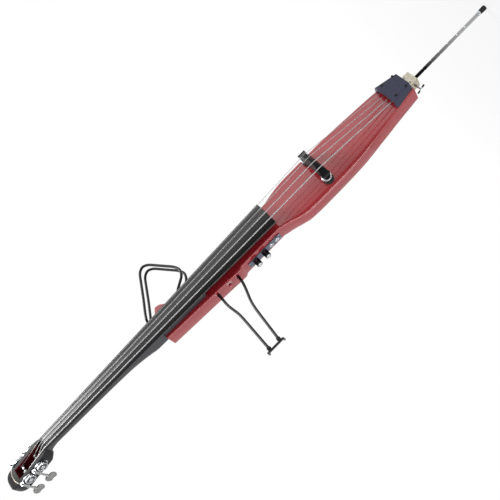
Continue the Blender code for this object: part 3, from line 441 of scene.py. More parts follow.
def turned(profile, centre, direction, sides=40, ripple=None):
    """A solid of revolution from (distance along, radius) pairs. ripple(along, angle) adds radius."""
    turn = Vector(direction).normalized().to_track_quat("Z", "Y").to_matrix()
    rings = []
    for along, radius in profile:
        ring = []
        for i in range(sides):
            angle = 2.0 * math.pi * i / sides
            r = radius + (ripple(along, angle) if ripple else 0.0)
            ring.append(Vector(centre) + turn @ Vector((r * math.cos(angle), r * math.sin(angle), along)))
        rings.append(ring)
    return loft(rings)


def sweep(points, radius, sides=16):
    """A round tube along points, its ring carried on without twist."""
    path = [Vector(p) for p in points]
    tangents = []
    for i in range(len(path)):
        tangents.append((path[min(i + 1, len(path) - 1)] - path[max(i - 1, 0)]).normalized())
    normal = tangents[0].orthogonal().normalized()
    rings = []
    for i, (point, tangent) in enumerate(zip(path, tangents)):
        if i:
            normal = tangents[i - 1].rotation_difference(tangent) @ normal
            normal = (normal - tangent * normal.dot(tangent)).normalized()
        across = tangent.cross(normal)
        rings.append([point + radius * (math.cos(t) * normal + math.sin(t) * across)
                      for t in (2.0 * math.pi * k / sides for k in range(sides))])
    return loft(rings)


def rounded_path(points, reach, steps=8):
    """Replace each inner corner of a broken line by a smooth bend that starts reach before it."""
    path = [Vector(p) for p in points]
    out = [path[0]]
    for before, corner, after in zip(path, path[1:], path[2:]):
        arm_in = min(reach, 0.45 * (corner - before).length)
        arm_out = min(reach, 0.45 * (after - corner).length)
        start = corner + (before - corner).normalized() * arm_in
        end = corner + (after - corner).normalized() * arm_out
        for k in range(steps + 1):
            t = k / steps
            out.append(start.lerp(corner, t).lerp(corner.lerp(end, t), t))
    out.append(path[-1])
    return out


def add_mesh(name, shape, finishes, sharp=35.0):
    """Turn millimetre geometry into an object with its finishes."""
    bmesh.ops.recalc_face_normals(shape, faces=shape.faces)
    bmesh.ops.transform(shape, matrix=Matrix.Scale(MM, 4), verts=shape.verts)
    mesh = bpy.data.meshes.new(name)
    shape.to_mesh(mesh)
    shape.free()
    mesh.shade_smooth()
    mesh.set_sharp_from_angle(angle=math.radians(sharp))
    for finish in finishes:
        mesh.materials.append(finish)
    item = bpy.data.objects.new(name, mesh)
    bpy.context.scene.collection.objects.link(item)
    return item


def add_piece(name, shape, finish, body="instrument", stands_for=(), edge=0.0, sharp=35.0):
    """A visible piece: its mesh, a rounded edge in millimetres, its body and what it replaces."""
    item = add_mesh(name, shape, [finish], sharp)
    if edge > 0.0:
        bevel = item.modifiers.new("rounded_edges", "BEVEL")
        bevel.width = edge * MM
        bevel.segments = 3
        bevel.limit_method = "ANGLE"
        bevel.angle_limit = math.radians(sharp)
        bevel.harden_normals = True
    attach(item, body)
    if stands_for:
        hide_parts(*stands_for)
    return item


def cut(item, name, shape, operation="DIFFERENCE", lining=None):
    """Take a shape away from a piece, or join it, before its edges are rounded; lining coats the cut."""
    cutter = add_mesh(name, shape, [lining] if lining else [])
    cutter.hide_render = True
    cutter.hide_viewport = True
    cutter.display_type = "WIRE"
    change = item.modifiers.new(name, "BOOLEAN")
    change.operation = operation
    change.object = cutter
    change.solver = "EXACT"
    change.material_mode = "TRANSFER" if lining else "INDEX"
    names = [m.name for m in item.modifiers]
    if "rounded_edges" in names:
        item.modifiers.move(len(names) - 1, names.index("rounded_edges"))


def monotone(stations, column):
    """A smooth curve through one column of a station table that never overshoots."""
    zs = [s[0] for s in stations]
    values = [s[column] for s in stations]
    slopes = [(values[i + 1] - values[i]) / (zs[i + 1] - zs[i]) for i in range(len(zs) - 1)]
    tangents = [slopes[0]]
    for before, after in zip(slopes, slopes[1:]):
        tangents.append(0.0 if before * after <= 0.0 else 2.0 * before * after / (before + after))
    tangents.append(slopes[-1])

    def value(z):
        z = max(zs[0], min(zs[-1], z))
        i = max(k for k in range(len(zs) - 1) if zs[k] <= z or k == 0)
        h = zs[i + 1] - zs[i]
        t = (z - zs[i]) / h
        return ((2 * t ** 3 - 3 * t ** 2 + 1) * values[i] + (t ** 3 - 2 * t ** 2 + t) * h * tangents[i]
                + (3 * t ** 2 - 2 * t ** 3) * values[i + 1] + (t ** 3 - t ** 2) * h * tangents[i + 1])
    return value


bass_half = monotone(BODY_STATIONS, 1)
treble_half = monotone(BODY_STATIONS, 2)
arch_share = monotone(BODY_STATIONS, 3)
edge_radius = monotone(BODY_STATIONS, 4)


def body_front_y(x, z):
    """Front of the body, gently arched across the bout and rounded at its edges."""
    half = bass_half(z) if x < 0.0 else treble_half(z)
    edge = edge_radius(z)
    beyond = max(0.0, min(edge, abs(x) - (half - edge)))
    drop = edge - math.sqrt(edge * edge - beyond * beyond)
    return BODY_FRONT + FRONT_ARCH * arch_share(z) * (x / ARCH_HALF_WIDTH) ** 2 + drop


def body_ring(z):
    bass, treble, edge = bass_half(z), treble_half(z), edge_radius(z)
    rounds, flats, backs = 8, 20, 6
    xs = [-bass + edge * (1.0 - math.cos(math.pi / 2 * k / rounds)) for k in range(rounds)]
    xs += [-(bass - edge) + (bass + treble - 2.0 * edge) * k / flats for k in range(flats + 1)]
    xs += [treble - edge * (1.0 - math.cos(math.pi / 2 * k / rounds)) for k in range(rounds - 1, -1, -1)]
    ring = [(x, body_front_y(x, z), z) for x in xs]
    for side, half in ((1.0, treble), (-1.0, bass)):
        bend = []
        for k in range(backs + 1):
            angle = math.pi / 2 * k / backs
            bend.append((side * (half - BACK_ROUND * (1.0 - math.cos(angle))),
                         BODY_BACK - BACK_ROUND * (1.0 - math.sin(angle)), z))
        ring += bend if side > 0.0 else bend[::-1]
    return ring


def plane_y(z):
    """Height of the glue plane between neck and fingerboard."""
    share = (NUT_Z - z) / (NUT_Z - BOARD_END_Z)
    return PLANE_Y_NUT + (PLANE_Y_END - PLANE_Y_NUT) * share


def board_half(z):
    share = (NUT_Z - z) / (NUT_Z - BOARD_END_Z)
    return BOARD_HALF_NUT + (BOARD_HALF_END - BOARD_HALF_NUT) * share


def head_front_y(z):
    return HEAD_FRONT + HEAD_TILT * (z - NUT_Z)


def crest_y(x):
    return BRIDGE_CREST_Y + BRIDGE_CREST_RADIUS - math.sqrt(BRIDGE_CREST_RADIUS ** 2 - x * x)


def nut_top_y(x):
    return plane_y(NUT_Z) - NUT_RISE + CAMBER_NUT - math.sqrt(CAMBER_NUT ** 2 - x * x)


def slope_lift(lift, x, radius):
    """Upright offset that keeps a string lift away from a round crest at x."""
    return lift * radius / math.sqrt(radius * radius - x * x) + 0.1


LACQUER = red_lacquer()
SLOT_RED_PAINTED_SHADE = slot_red_painted_shade()
BLACK = black_lacquer()
NECK_PAINTED_SHEEN = neck_paint_painted_sheen()
EBONY = ebony()
NUT_BLACK = nut_plastic()
CHROME = polished_chrome()
NICKEL = brushed_nickel()
STEEL = ground_steel()
ROD_PAINTED_REFLECTION = endpin_rod_painted_reflection()
WOUND = flat_wound_steel()
SLATE = slate_abs()
BACK_BLACK = back_abs()
ZINC = blasted_zinc()
PANEL = anodised_panel()
TUBE = gloss_black_tube()
KNOB = knob_plastic()
RUBBER = vulcanised_rubber()
JACK_PAINTED_SHADE = jack_painted_shade()
GREEN = circuit_green()


def make_body():
    steps = 150
    levels = sorted({round(BODY_TAIL_Z + (BODY_HEAD_Z - BODY_TAIL_Z) * k / steps, 3)
                     for k in range(steps + 1)} | {s[0] for s in BODY_STATIONS})
    body = add_piece("lacquered_body", loft([body_ring(z) for z in levels]), LACQUER,
                     stands_for=("body",), sharp=40.0)
    cut(body, "hole_endpin", turned(((300.0, 5.6), (596.0, 5.6)), (0, 0, 0), (0, 0, 1)))
    cut(body, "hole_electronics", block((-32.0, 32.0), (-12.0, 30.0), (850.0, 980.0)))
    cut(body, "hole_cover_rim", block((-38.0, 38.0), (BODY_BACK - 2.3, 30.0), (844.0, 986.0)))
    cut(body, "hole_battery", block((-15.0, 15.0), (1.0, 30.0), (1004.0, 1058.0)))
    for i, (x, z) in enumerate(((-14.0, 1245.0), (14.0, 1140.0))):
        cut(body, f"hole_neck_bolt_{i}", turned(((-30.0, 4.3), (15.0, 4.3), (15.01, 7.5), (30.0, 7.5)),
                                                (x, 0, z), (0, 1, 0)))
    for i, z in enumerate((REST_UPPER[0][1], 1047.0, REST_LOWER[0][1])):
        half = bass_half(z)
        cut(body, f"hole_rest_{i}", turned(((-half - 5.0, 6.3), (-half + 0.4, 6.3), (-half + 2.4, 4.3),
                                            (-22.0, 4.3)), (0, REST_Y, z), (1, 0, 0)))
    for i, y in enumerate((-FRAME_Y, FRAME_Y)):
        cut(body, f"hole_frame_{i}", turned(((12.0, 4.3), (60.0, 4.3)), (0, y, FRAME_PATH[0][1]), (1, 0, 0)))
    for i, z in enumerate((950.0, 917.0, 890.0, 868.0)):
        radius = 4.8 if i < 2 else 6.3
        cut(body, f"hole_control_{i}", turned(((-60.0, radius), (-20.0, radius)), (0, 3.0, z), (1, 0, 0)))
    return body


def make_back_plates():
    plate = add_piece("electronics_plate", block((-37.7, 37.7), (BODY_BACK - 2.0, BODY_BACK), (844.3, 985.7)),
                      BACK_BLACK, stands_for=("electronics_cover",), edge=0.5)
    for i, (x, z) in enumerate(((-33.0, 849.0), (33.0, 849.0), (-33.0, 981.0), (33.0, 981.0))):
        cut(plate, f"sink_plate_{i}", turned(((BODY_BACK - 1.4, 2.9), (BODY_BACK + 2.0, 2.9)),
                                             (x, 0, z), (0, 1, 0), 24))
        make_screw(f"plate_screw_{i + 1}", (x, BODY_BACK - 0.2, z), (0, -1, 0), 2.7, 1.1, "instrument")
    door = add_piece("battery_lid", block((-14.7, 14.7), (BODY_BACK - 2.5, BODY_BACK), (1004.3, 1057.7)),
                     BACK_BLACK, body="battery_door", stands_for=("battery_door",), edge=0.5)
    cut(door, "thumb_notch", turned(((-7.0, 4.0), (7.0, 4.0)), (0, BODY_BACK + 3.2, 1053.0), (1, 0, 0), 24))


def make_screw(name, top, direction, radius, thick, body, finish=None):
    """A cross-headed screw: direction points into the work from the head's top."""
    slot_half, slot_wide = radius * 0.55, radius * 0.14
    head = turned(((0.0, radius * 0.72), (thick * 0.3, radius), (thick, radius)), top, direction, 32)
    item = add_piece(name, head, finish or STEEL, body=body)
    way = Vector(direction)
    for i in range(2):
        long_way = Vector((1, 0, 0)) if abs(way.x) < 0.5 else Vector((0, 1, 0))
        across = way.cross(long_way).normalized()
        arms = (long_way, across) if i == 0 else (across, long_way)
        centre = Vector(top)
        corners = []
        for sx, sy in ((-1, -1), (1, -1), (1, 1), (-1, 1)):
            corners.append(centre + arms[0] * slot_half * sx + arms[1] * slot_wide * sy)
        cross = loft([[c - way * 1.0 for c in corners], [c + way * thick * 0.6 for c in corners]])
        cut(item, f"{name}_cross_{i}", cross)
    return item


def make_neck():
    stations = ((BODY_HEAD_Z + GAP, HEEL_BACK, 5.0), (1310.0, HEEL_BACK, 5.0), (1330.0, -1.5, 4.0),
                (1350.0, -4.5, 3.2), (1375.0, -8.0, 2.6), (1410.0, -11.0, 2.2), (1500.0, -13.0, 2.0),
                (1600.0, -14.0, 2.0), (1685.0, -14.5, 2.0), (1700.0, -13.0, 2.2), (1719.0, -8.0, 3.0))
    back_of, power_of = monotone(stations, 1), monotone(stations, 2)
    low, high, steps, around = stations[0][0], stations[-1][0], 70, 40
    rings = []
    for k in range(steps + 1):
        z = low + (high - low) * k / steps
        half = board_half(min(z, NUT_Z)) - 0.5
        front = plane_y(min(z, NUT_Z))
        side, back, power = front + 4.0, back_of(z), power_of(z)
        ring = [(half, front, z), (-half, front, z)]
        for j in range(around + 1):
            angle = math.pi - math.pi * j / around
            c, s = math.cos(angle), math.sin(angle)
            ring.append((half * math.copysign(abs(c) ** (2.0 / power), c),
                         side + (back - side) * abs(s) ** (2.0 / power), z))
        rings.append(ring)
    neck = add_piece("painted_neck", loft(rings), NECK_PAINTED_SHEEN, stands_for=("neck",),
                     edge=0.6, sharp=50.0)
    chamfer = 5.0
    tenon = loft([[(-w + chamfer, plane_y(z) + 0.2, z), (w - chamfer, plane_y(z) + 0.2, z),
                   (w, plane_y(z) + chamfer, z), (w, BODY_FRONT - GAP, z), (-w, BODY_FRONT - GAP, z),
                   (-w, plane_y(z) + chamfer, z)] for z, w in ((TENON_END_Z, 30.0), (BODY_HEAD_Z + 8.0, 27.0))])
    cut(neck, "join_tenon", tenon, "UNION")


def make_fingerboard():
    rings = []
    steps, across = 40, 40
    for n in range(steps + 1):
        z = BOARD_END_Z + (NUT_Z - GAP - BOARD_END_Z) * n / steps
        half = board_half(z)
        share = (NUT_Z - z) / (NUT_Z - BOARD_END_Z)
        radius = CAMBER_NUT + (CAMBER_END - CAMBER_NUT) * share
        under = plane_y(z) - GAP
        ring = [(-half, under, z), (half, under, z)]
        for k in range(across + 1):
            x = half - 2.0 * half * k / across
            rise = math.sqrt(radius ** 2 - x * x) - math.sqrt(radius ** 2 - half ** 2)
            ring.append((x, under - BOARD_EDGE - rise, z))
        rings.append(ring)
    add_piece("ebony_fingerboard", loft(rings), EBONY, stands_for=("fingerboard",), edge=0.8)
    outline = [(-BOARD_HALF_NUT, plane_y(NUT_Z) - GAP), (BOARD_HALF_NUT, plane_y(NUT_Z) - GAP)]
    for k in range(41):
        x = BOARD_HALF_NUT - 2.0 * BOARD_HALF_NUT * k / 40
        outline.append((x, nut_top_y(x)))
    add_piece("slotted_nut", prism(outline, "Z", NUT_Z, NUT_TOP_Z), NUT_BLACK,
              stands_for=("nut",), edge=0.6)


def make_pegbox():
    base = NUT_TOP_Z + 0.5
    stations = ((base, 22.0, -7.0), (1728.0, 25.0, 0.0), (1742.0, HEAD_HALF, 8.0),
                (1800.0, HEAD_HALF, 16.0), (BULB_Z, HEAD_HALF, 23.0), (HEAD_TOP_Z, HEAD_HALF, 22.0))
    half_of, back_of = monotone(stations, 1), monotone(stations, 2)
    levels = [base + (BULB_Z - base) * k / 40 for k in range(41)]
    levels += [BULB_Z + (HEAD_TOP_Z - BULB_Z) * math.sin(math.pi / 2 * k / 16) for k in range(1, 17)]
    rings, fronts = [], []
    for z in levels:
        along = max(0.0, (z - BULB_Z) / (HEAD_TOP_Z - BULB_Z))
        swell = max(0.12, (1.0 - along ** 2.3) ** (1.0 / 2.3))
        middle = (head_front_y(z) + back_of(z)) / 2 + 2.0
        half = half_of(z) * swell
        front = middle + (head_front_y(z) - middle) * (0.25 + 0.75 * swell)
        fronts.append((z, front))
        back = middle + (back_of(z) - middle) * swell
        ring = []
        corner, back_corner, turns = min(2.5, 0.4 * half), min(6.0, 0.4 * half), 5
        for cx, cy, r, start in ((half - corner, front + corner, corner, -math.pi / 2),
                                 (half - back_corner, back - back_corner, back_corner, 0.0),
                                 (-half + back_corner, back - back_corner, back_corner, math.pi / 2),
                                 (-half + corner, front + corner, corner, math.pi)):
            for j in range(turns + 1):
                angle = start + math.pi / 2 * j / turns
                ring.append((cx + r * math.cos(angle), cy + r * math.sin(angle), z))
        rings.append(ring)
    pegbox = add_piece("black_pegbox", loft(rings), BLACK, stands_for=("pegbox",),
                       edge=0.7, sharp=45.0)
    slot = loft([[(-SLOT_HALF, head_front_y(z) - SLOT_LEAD, z), (SLOT_HALF, head_front_y(z) - SLOT_LEAD, z),
                  (SLOT_HALF, head_front_y(z) + SLOT_DEPTH, z),
                  (-SLOT_HALF, head_front_y(z) + SLOT_DEPTH, z)] for z in SLOT_Z])
    # The slot is lined with the red that is darkened as painted shade.
    cut(pegbox, "hole_slot", slot, lining=SLOT_RED_PAINTED_SHADE)
    lead = loft([[(-19.0, -60.0, z), (19.0, -60.0, z), (17.0, y, z), (-17.0, y, z)]
                 for z, y in ((base - 4.0, -40.5), (SLOT_Z[0] + 6.0, -31.0))])
    cut(pegbox, "hole_string_ramp", lead)
    for i, (z, y) in enumerate(POST_ROWS):
        cut(pegbox, f"hole_posts_{i}", turned(((-40.0, POST_R + GAP), (40.0, POST_R + GAP)),
                                              (0, y, z), (1, 0, 0)))
    front_of, trim = monotone(tuple(fronts), 1), []
    for k in range(33):
        x = 27.2 * (2.0 * k / 32 - 1.0)
        z = BULB_Z - 1.0 + 9.0 * (1.0 - (x / 27.2) ** 2)
        trim.append((x, front_of(z) + 0.2 + 1.2 * (x / 27.2) ** 8, z))
    add_piece("head_trim", sweep(trim, 0.9, 12), ZINC, sharp=60.0)


def make_machine(spec):
    """Plate with ears, post with its toothed gear and screw, and the worm with its key."""
    name, _, nut_x, _, _, row = spec
    side = -1.0 if nut_x < 0.0 else 1.0
    z, y = POST_ROWS[row]
    worm_z = z + WORM_OFFSET
    outline = []
    for k in range(64):
        angle = 2.0 * math.pi * k / 64
        outline.append((y + 17.0 * math.cos(angle), z + 4.0 + 23.4 * math.sin(angle)))
    low, high = sorted((side * PLATE_X, side * (PLATE_X + PLATE_THICK)))
    plate = add_piece(f"oval_plate_{name}", prism(outline, "X", low, high), CHROME,
                      stands_for=(f"machine_plate_{name}",), edge=0.5)
    for k, ear_y in enumerate((y - EAR_HALF, y + EAR_HALF)):
        ear = turned(((-EAR_THICK / 2, 5.0), (EAR_THICK / 2, 5.0)), (side * WORM_X, ear_y, worm_z), (0, 1, 0))
        cut(plate, f"ear_{name}_{k}", ear, "UNION")
        span = sorted((side * (PLATE_X + 0.5), side * (WORM_X - 1.0)))
        web = block(span, (ear_y - EAR_THICK / 2 + 0.1, ear_y + EAR_THICK / 2 - 0.1),
                    (worm_z - 4.6, worm_z + 4.6))
        cut(plate, f"web_{name}_{k}", web, "UNION")
    cut(plate, f"plate_bore_{name}", turned(((20.0, POST_R + GAP), (32.5, POST_R + GAP)), (0, y, z), (side, 0, 0)))
    cut(plate, f"ear_bore_{name}", turned(((-30.0, SHAFT_R + 0.2), (30.0, SHAFT_R + 0.2)),
                                          (side * WORM_X, y, worm_z), (0, 1, 0), 32))

    def teeth(along, angle):
        return -1.5 * (0.5 - 0.5 * math.cos(GEAR_TEETH * angle)) if GEAR_X <= along <= GEAR_X + GEAR_THICK else 0.0
    post_body = f"post_{name}"
    post = turned(((2.0, POST_R - 0.8), (3.0, POST_R), (GEAR_X - 0.1, POST_R)), (0, y, z), (side, 0, 0))
    item = add_piece(f"string_post_{name}", post, CHROME, body=post_body,
                     stands_for=(f"tuner_post_{name}",))
    cut(item, f"string_hole_{name}", turned(((-8.0, 1.9), (8.0, 1.9)), (side * (6.0 if row else 10.0), y, z),
                                            (0, 0, 1), 24))
    gear_end = GEAR_X + GEAR_THICK
    gear = turned(((GEAR_X, GEAR_R), (gear_end, GEAR_R)), (0, y, z), (side, 0, 0), GEAR_TEETH * 8, teeth)
    gear_item = add_piece(f"worm_gear_{name}", gear, STEEL, body=post_body, edge=0.2)
    dish = turned(((gear_end - 1.6, 11.5), (gear_end + 1.0, 12.8)), (0, y, z), (side, 0, 0), 64)
    cut(gear_item, f"gear_dish_{name}", dish)
    # A black disc at the bottom of the gear's dish: painted shade in the recess.
    floor = turned(((gear_end - 1.7, 11.4), (gear_end - 1.5, 11.4)), (0, y, z), (side, 0, 0), 64)
    add_piece(f"gear_painted_shade_disc_{name}", floor, KNOB, body=post_body)
    make_screw(f"gear_screw_{name}", (side * (GEAR_X + GEAR_THICK + 2.0), y, z), (-side, 0, 0), 4.6, 2.0,
               post_body)
    hub = turned(((gear_end - 1.6, 6.6), (gear_end + 0.2, 6.4), (gear_end + 0.5, 6.0)), (0, y, z), (side, 0, 0))
    add_piece(f"gear_washer_{name}", hub, CHROME, body=post_body)
    half = EAR_HALF - EAR_THICK / 2 - GAP

    def thread(along, angle):
        return -0.9 * (0.5 - 0.5 * math.cos(angle - 2.0 * math.pi * along / THREAD_PITCH)) if abs(along) < half else 0.0
    profile = [(-20.0, SHAFT_R), (-half - 0.01, SHAFT_R)]
    profile += [(-half + 2.0 * half * k / 40, WORM_R) for k in range(41)]
    neck_y = KEY_Y - KEY_HALF_Y - y
    profile += [(half + 0.01, SHAFT_R), (neck_y - 3.0, SHAFT_R), (neck_y - 1.5, SHAFT_R + 1.6),
                (neck_y + 9.0, SHAFT_R + 1.0)]
    add_piece(f"worm_shaft_{name}", turned(profile, (side * WORM_X, y, worm_z), (0, 1, 0), 32, thread),
              NICKEL, body=f"key_{name}", stands_for=(f"tuner_key_{name}",), sharp=50.0)
    outline = []
    for k in range(96):
        angle = 2.0 * math.pi * k / 96
        waist = 1.0 - 0.35 * math.cos(angle) ** 8
        outline.append((KEY_Y + (KEY_HALF_Y - 0.6) * waist * math.cos(angle),
                        worm_z + (KEY_HALF_Z - 0.6) * math.sin(angle)))
    middle = side * WORM_X
    paddle = prism(outline, "X", middle - 2.4, middle + 2.4)
    add_piece(f"butterfly_key_{name}", paddle, NICKEL, body=f"key_{name}", edge=1.6, sharp=50.0)


def string_points(spec):
    """Centre line of one string from its anchor over the bridge and nut to its post."""
    _, radius, nut_x, bridge_x, tail_x, row = spec
    lift = radius + GAP
    post_z, post_y = POST_ROWS[row]
    side = -1.0 if nut_x < 0.0 else 1.0
    coil = POST_R + radius + 0.05
    start_x = side * (13.0 if row == 0 else 8.0)
    points = [Vector((tail_x * 0.96, TAIL_STRING_Y, TAIL_ANCHOR_Z + 9.0)),
              Vector((tail_x, TAIL_STRING_Y - 3.5, 381.0))]
    bridge_y = crest_y(bridge_x) - slope_lift(lift, bridge_x, BRIDGE_CREST_RADIUS) + 0.3
    points += [Vector((bridge_x, bridge_y + 0.4, BRIDGE_Z - 5.0)), Vector((bridge_x, bridge_y, BRIDGE_Z - 2.0)),
               Vector((bridge_x, bridge_y, BRIDGE_Z + 2.0))]
    nut_y = nut_top_y(nut_x) - slope_lift(lift, nut_x, CAMBER_NUT) + 0.3
    points += [Vector((nut_x, nut_y, NUT_Z - 1.0)), Vector((nut_x, nut_y, NUT_Z + 2.0)),
               Vector((nut_x * 0.985, nut_y + 0.9, NUT_TOP_Z + 2.0))]
    steps = 24
    pitch = 2.0 * radius + 0.25
    for k in range(int(STRING_TURNS * steps) + 1):
        angle = -math.pi / 2 - 0.15 + 2.0 * math.pi * k / steps
        points.append(Vector((start_x - side * pitch * k / steps, post_y + coil * math.sin(angle),
                              post_z + coil * math.cos(angle))))
    return points


def make_strings():
    for spec in STRING_SPECS:
        name, radius = spec[0], spec[1]
        add_piece(f"wound_string_{name}", sweep(string_points(spec), radius, 14), WOUND,
                  stands_for=(f"string_{name}",), sharp=70.0)


def make_bridge():
    half, leg_in, leg_out, leg_y = 56.0, 37.5, 55.5, -46.0
    outline = []
    steps = 40
    for k in range(steps + 1):
        x = -half + 8.0 + (2.0 * half - 16.0) * k / steps
        outline.append((x, crest_y(x)))
    outline += [(half - 4.5, crest_y(half - 8.0) + 1.6), (half - 1.5, crest_y(half - 8.0) + 5.0),
                (half, -60.0), (leg_out, leg_y), (leg_in, leg_y), (leg_in - 2.5, -55.0), (leg_in - 7.0, -58.0),
                (-leg_in + 7.0, -58.0), (-leg_in + 2.5, -55.0), (-leg_in, leg_y), (-leg_out, leg_y),
                (-half, -60.0), (-half + 1.5, crest_y(half - 8.0) + 5.0),
                (-half + 4.5, crest_y(half - 8.0) + 1.6)]
    shape = prism(outline, "Z", BRIDGE_Z - 13.0, BRIDGE_Z + 13.0)
    for vert in shape.verts:
        x, y, z = vert.co
        rise = min(1.0, max(0.0, (y - BRIDGE_CREST_Y) / 22.0))
        leg = 0.7 if y > leg_y - 1.0 else 1.0
        width = 9.0 + 17.0 * rise
        vert.co.z = BRIDGE_Z + math.copysign(width / 2 * leg, z - BRIDGE_Z)
    bridge = add_piece("bridge_block", shape, BLACK, body="bridge", stands_for=("bridge",),
                       edge=1.5, sharp=40.0)
    for side, sign in (("bass", -1.0), ("treble", 1.0)):
        centre = (sign * 46.5, 0, BRIDGE_Z)
        cut(bridge, f"leg_bore_{side}", turned(((leg_y - 12.0, 4.3), (leg_y + 5.0, 4.3)), centre, (0, 1, 0)))
        wheel_top, wheel_low = leg_y + GAP, leg_y + GAP + 7.0

        def knurl(along, angle, top=wheel_top, low=wheel_low):
            return -0.45 * (0.5 - 0.5 * math.cos(48 * angle)) if top + 1.0 < along < low - 1.0 else 0.0
        profile = [(leg_y - 11.0, 4.0), (wheel_top, 4.0), (wheel_top + 0.01, 13.8), (wheel_top + 0.9, 15.0),
                   (wheel_top + 1.1, 15.0), (wheel_low - 1.1, 15.0), (wheel_low - 0.9, 15.0),
                   (wheel_low, 13.8), (wheel_low + 0.01, 4.0), (-29.9, 4.0)]
        add_piece(f"adjuster_wheel_{side}", turned(profile, centre, (0, 1, 0), 192, knurl), CHROME,
                  body=f"wheel_{side}", stands_for=(f"bridge_wheel_{side}",))
        foot = turned(((-31.0, 13.5), (-30.6, 14.5), (-30.0, 15.0), (-20.0, 15.0)), centre, (0, 1, 0), 64)
        for vert in foot.verts:
            if vert.co.y > -29.0:
                vert.co.y = body_front_y(vert.co.x, BRIDGE_Z) - 0.35
        foot_item = add_piece(f"rubber_foot_{side}", foot, RUBBER,
                              stands_for=(f"bridge_foot_{side}",))
        cut(foot_item, f"foot_bore_{side}", turned(((-36.0, 4.3), (0.0, 4.3)), centre, (0, 1, 0)))


def make_tail():
    def cover_block(inset, back, head, tail):
        rings = []
        for z, half, front in ((tail, 28.0, -45.0), (head, 41.0, -51.0)):
            w, f = half - inset, front + inset
            corner, flare = 4.0, 6.0
            rings.append([(-w + corner, f, z), (w - corner, f, z), (w, f + corner, z),
                          (w + flare, back, z), (-w - flare, back, z), (-w, f + corner, z)])
        return loft(rings)
    rest_y = BODY_FRONT - GAP
    head_z, tail_z = 381.0, 313.0
    cover = add_piece("slate_tail_cover", cover_block(0.0, rest_y, head_z, tail_z), SLATE,
                      stands_for=("tail_cover",), edge=1.4, sharp=25.0)
    cut(cover, "cover_inside", cover_block(3.0, rest_y + 6.0, head_z - 3.0, tail_z + 3.0))
    cut(cover, "cover_gate", block((-34.0, 34.0), (-40.0, rest_y + 6.0), (head_z - 6.0, head_z + 6.0)))
    hollow = turned(((-60.0, 190.0), (-20.0, 190.0)), (0, 0, head_z + 188.5), (0, 1, 0), 192)
    cut(cover, "cover_concave_edge", hollow)
    for i, (x, z) in enumerate((x, z) for z in (363.0, 325.0) for x in (-28.0, 28.0)):
        share = (z - tail_z) / (head_z - tail_z)
        top = -45.0 - 6.0 * share
        cut(cover, f"cover_sink_{i}", turned(((top - 4.0, 4.6), (top + 1.4, 4.3), (top + 1.41, 2.3),
                                              (-12.0, 2.3)), (x, 0, z), (0, 1, 0), 32))
        item = make_screw(f"cover_cross_screw_{i + 1}", (x, top + 0.1, z), (0, 1, 0), 3.9, 1.2, "instrument", RUBBER)
        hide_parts(f"cover_screw_{i + 1}")


def make_endpin():
    bracket = add_piece("endpin_casting", block((-20.0, 20.0), (-20.0, 12.0), (281.5, 311.7)), ZINC,
                        stands_for=("endpin_bracket",), edge=2.5)
    cut(bracket, "casting_bore", turned(((270.0, 5.3), (320.0, 5.3)), (0, 0, 0), (0, 0, 1)))
    cut(bracket, "casting_screw_hole", turned(((3.0, 3.3), (30.0, 3.3)), (0, 0, 294.0), (-1, 0, 0), 32))
    for i, x in enumerate((-12.0, 12.0)):
        cut(bracket, f"casting_step_{i}", turned(((-30.0, 3.6), (-18.5, 3.6)), (x, 0, 303.0), (0, 1, 0), 32))
        make_screw(f"casting_screw_{i + 1}", (x, -19.6, 303.0), (0, 1, 0), 3.2, 1.1, "instrument")
    screw = add_piece("thumb_screw", turned(((5.4, 2.9), (20.5, 2.9), (20.51, 3.4), (36.0, 2.6), (40.0, 2.6)),
                                            (0, 0, 294.0), (-1, 0, 0), 32), STEEL,
                      body="endpin_screw", stands_for=("endpin_screw",))
    way = Vector((0, 0.38, 0.92)).normalized()
    bar = turned(((-14.0, 2.0), (14.0, 2.0)), (-40.0, 0, 294.0), way, 32)
    add_piece("thumb_screw_bar", bar, CHROME, body="endpin_screw")
    for i, sign in enumerate((-1.0, 1.0)):
        end = turned(((5.0 * sign, 2.4), (13.5 * sign, 2.7), (14.8 * sign, 1.9)), (-40.0, 0, 294.0), way, 32)
        add_piece(f"thumb_screw_end_{i + 1}", end, KNOB, body="endpin_screw")
    profile = [(8.0, 5.0)]
    for z in (82.0, 114.0, 148.0, 181.0, 214.0, 245.0):
        profile += [(z - 2.0, 5.0), (z - 1.2, 4.2), (z + 1.2, 4.2), (z + 2.0, 5.0)]
    profile += [(358.5, 5.0), (360.0, 3.5)]
    add_piece("ground_endpin_rod", turned(profile, (0, 0, 0), (0, 0, 1), 48), ROD_PAINTED_REFLECTION,
              body="endpin", stands_for=("endpin_rod",))
    ferrule = add_piece("crimped_ferrule", turned(((21.3, 6.1), (22.3, 6.2), (22.6, 5.9), (23.4, 5.9), (23.7, 6.2),
                                                   (27.5, 6.2), (29.0, 5.7)), (0, 0, 0), (0, 0, 1), 48),
                        CHROME, body="endpin", stands_for=("endpin_ferrule",))
    cut(ferrule, "ferrule_bore", turned(((0.0, 5.2), (60.0, 5.2)), (0, 0, 0), (0, 0, 1), 48))
    tip = add_piece("rubber_tip", turned(((0.0, 5.3), (0.5, 6.3), (1.6, 7.2), (3.0, 7.5), (12.0, 7.3), (13.0, 6.9),
                                          (14.0, 7.1), (20.0, 6.6), (21.0, 6.0)), (0, 0, 0), (0, 0, 1), 48),
                    RUBBER, body="endpin", stands_for=("endpin_tip",))
    cut(tip, "tip_bore", turned(((7.7, 5.2), (60.0, 5.2)), (0, 0, 0), (0, 0, 1), 48))


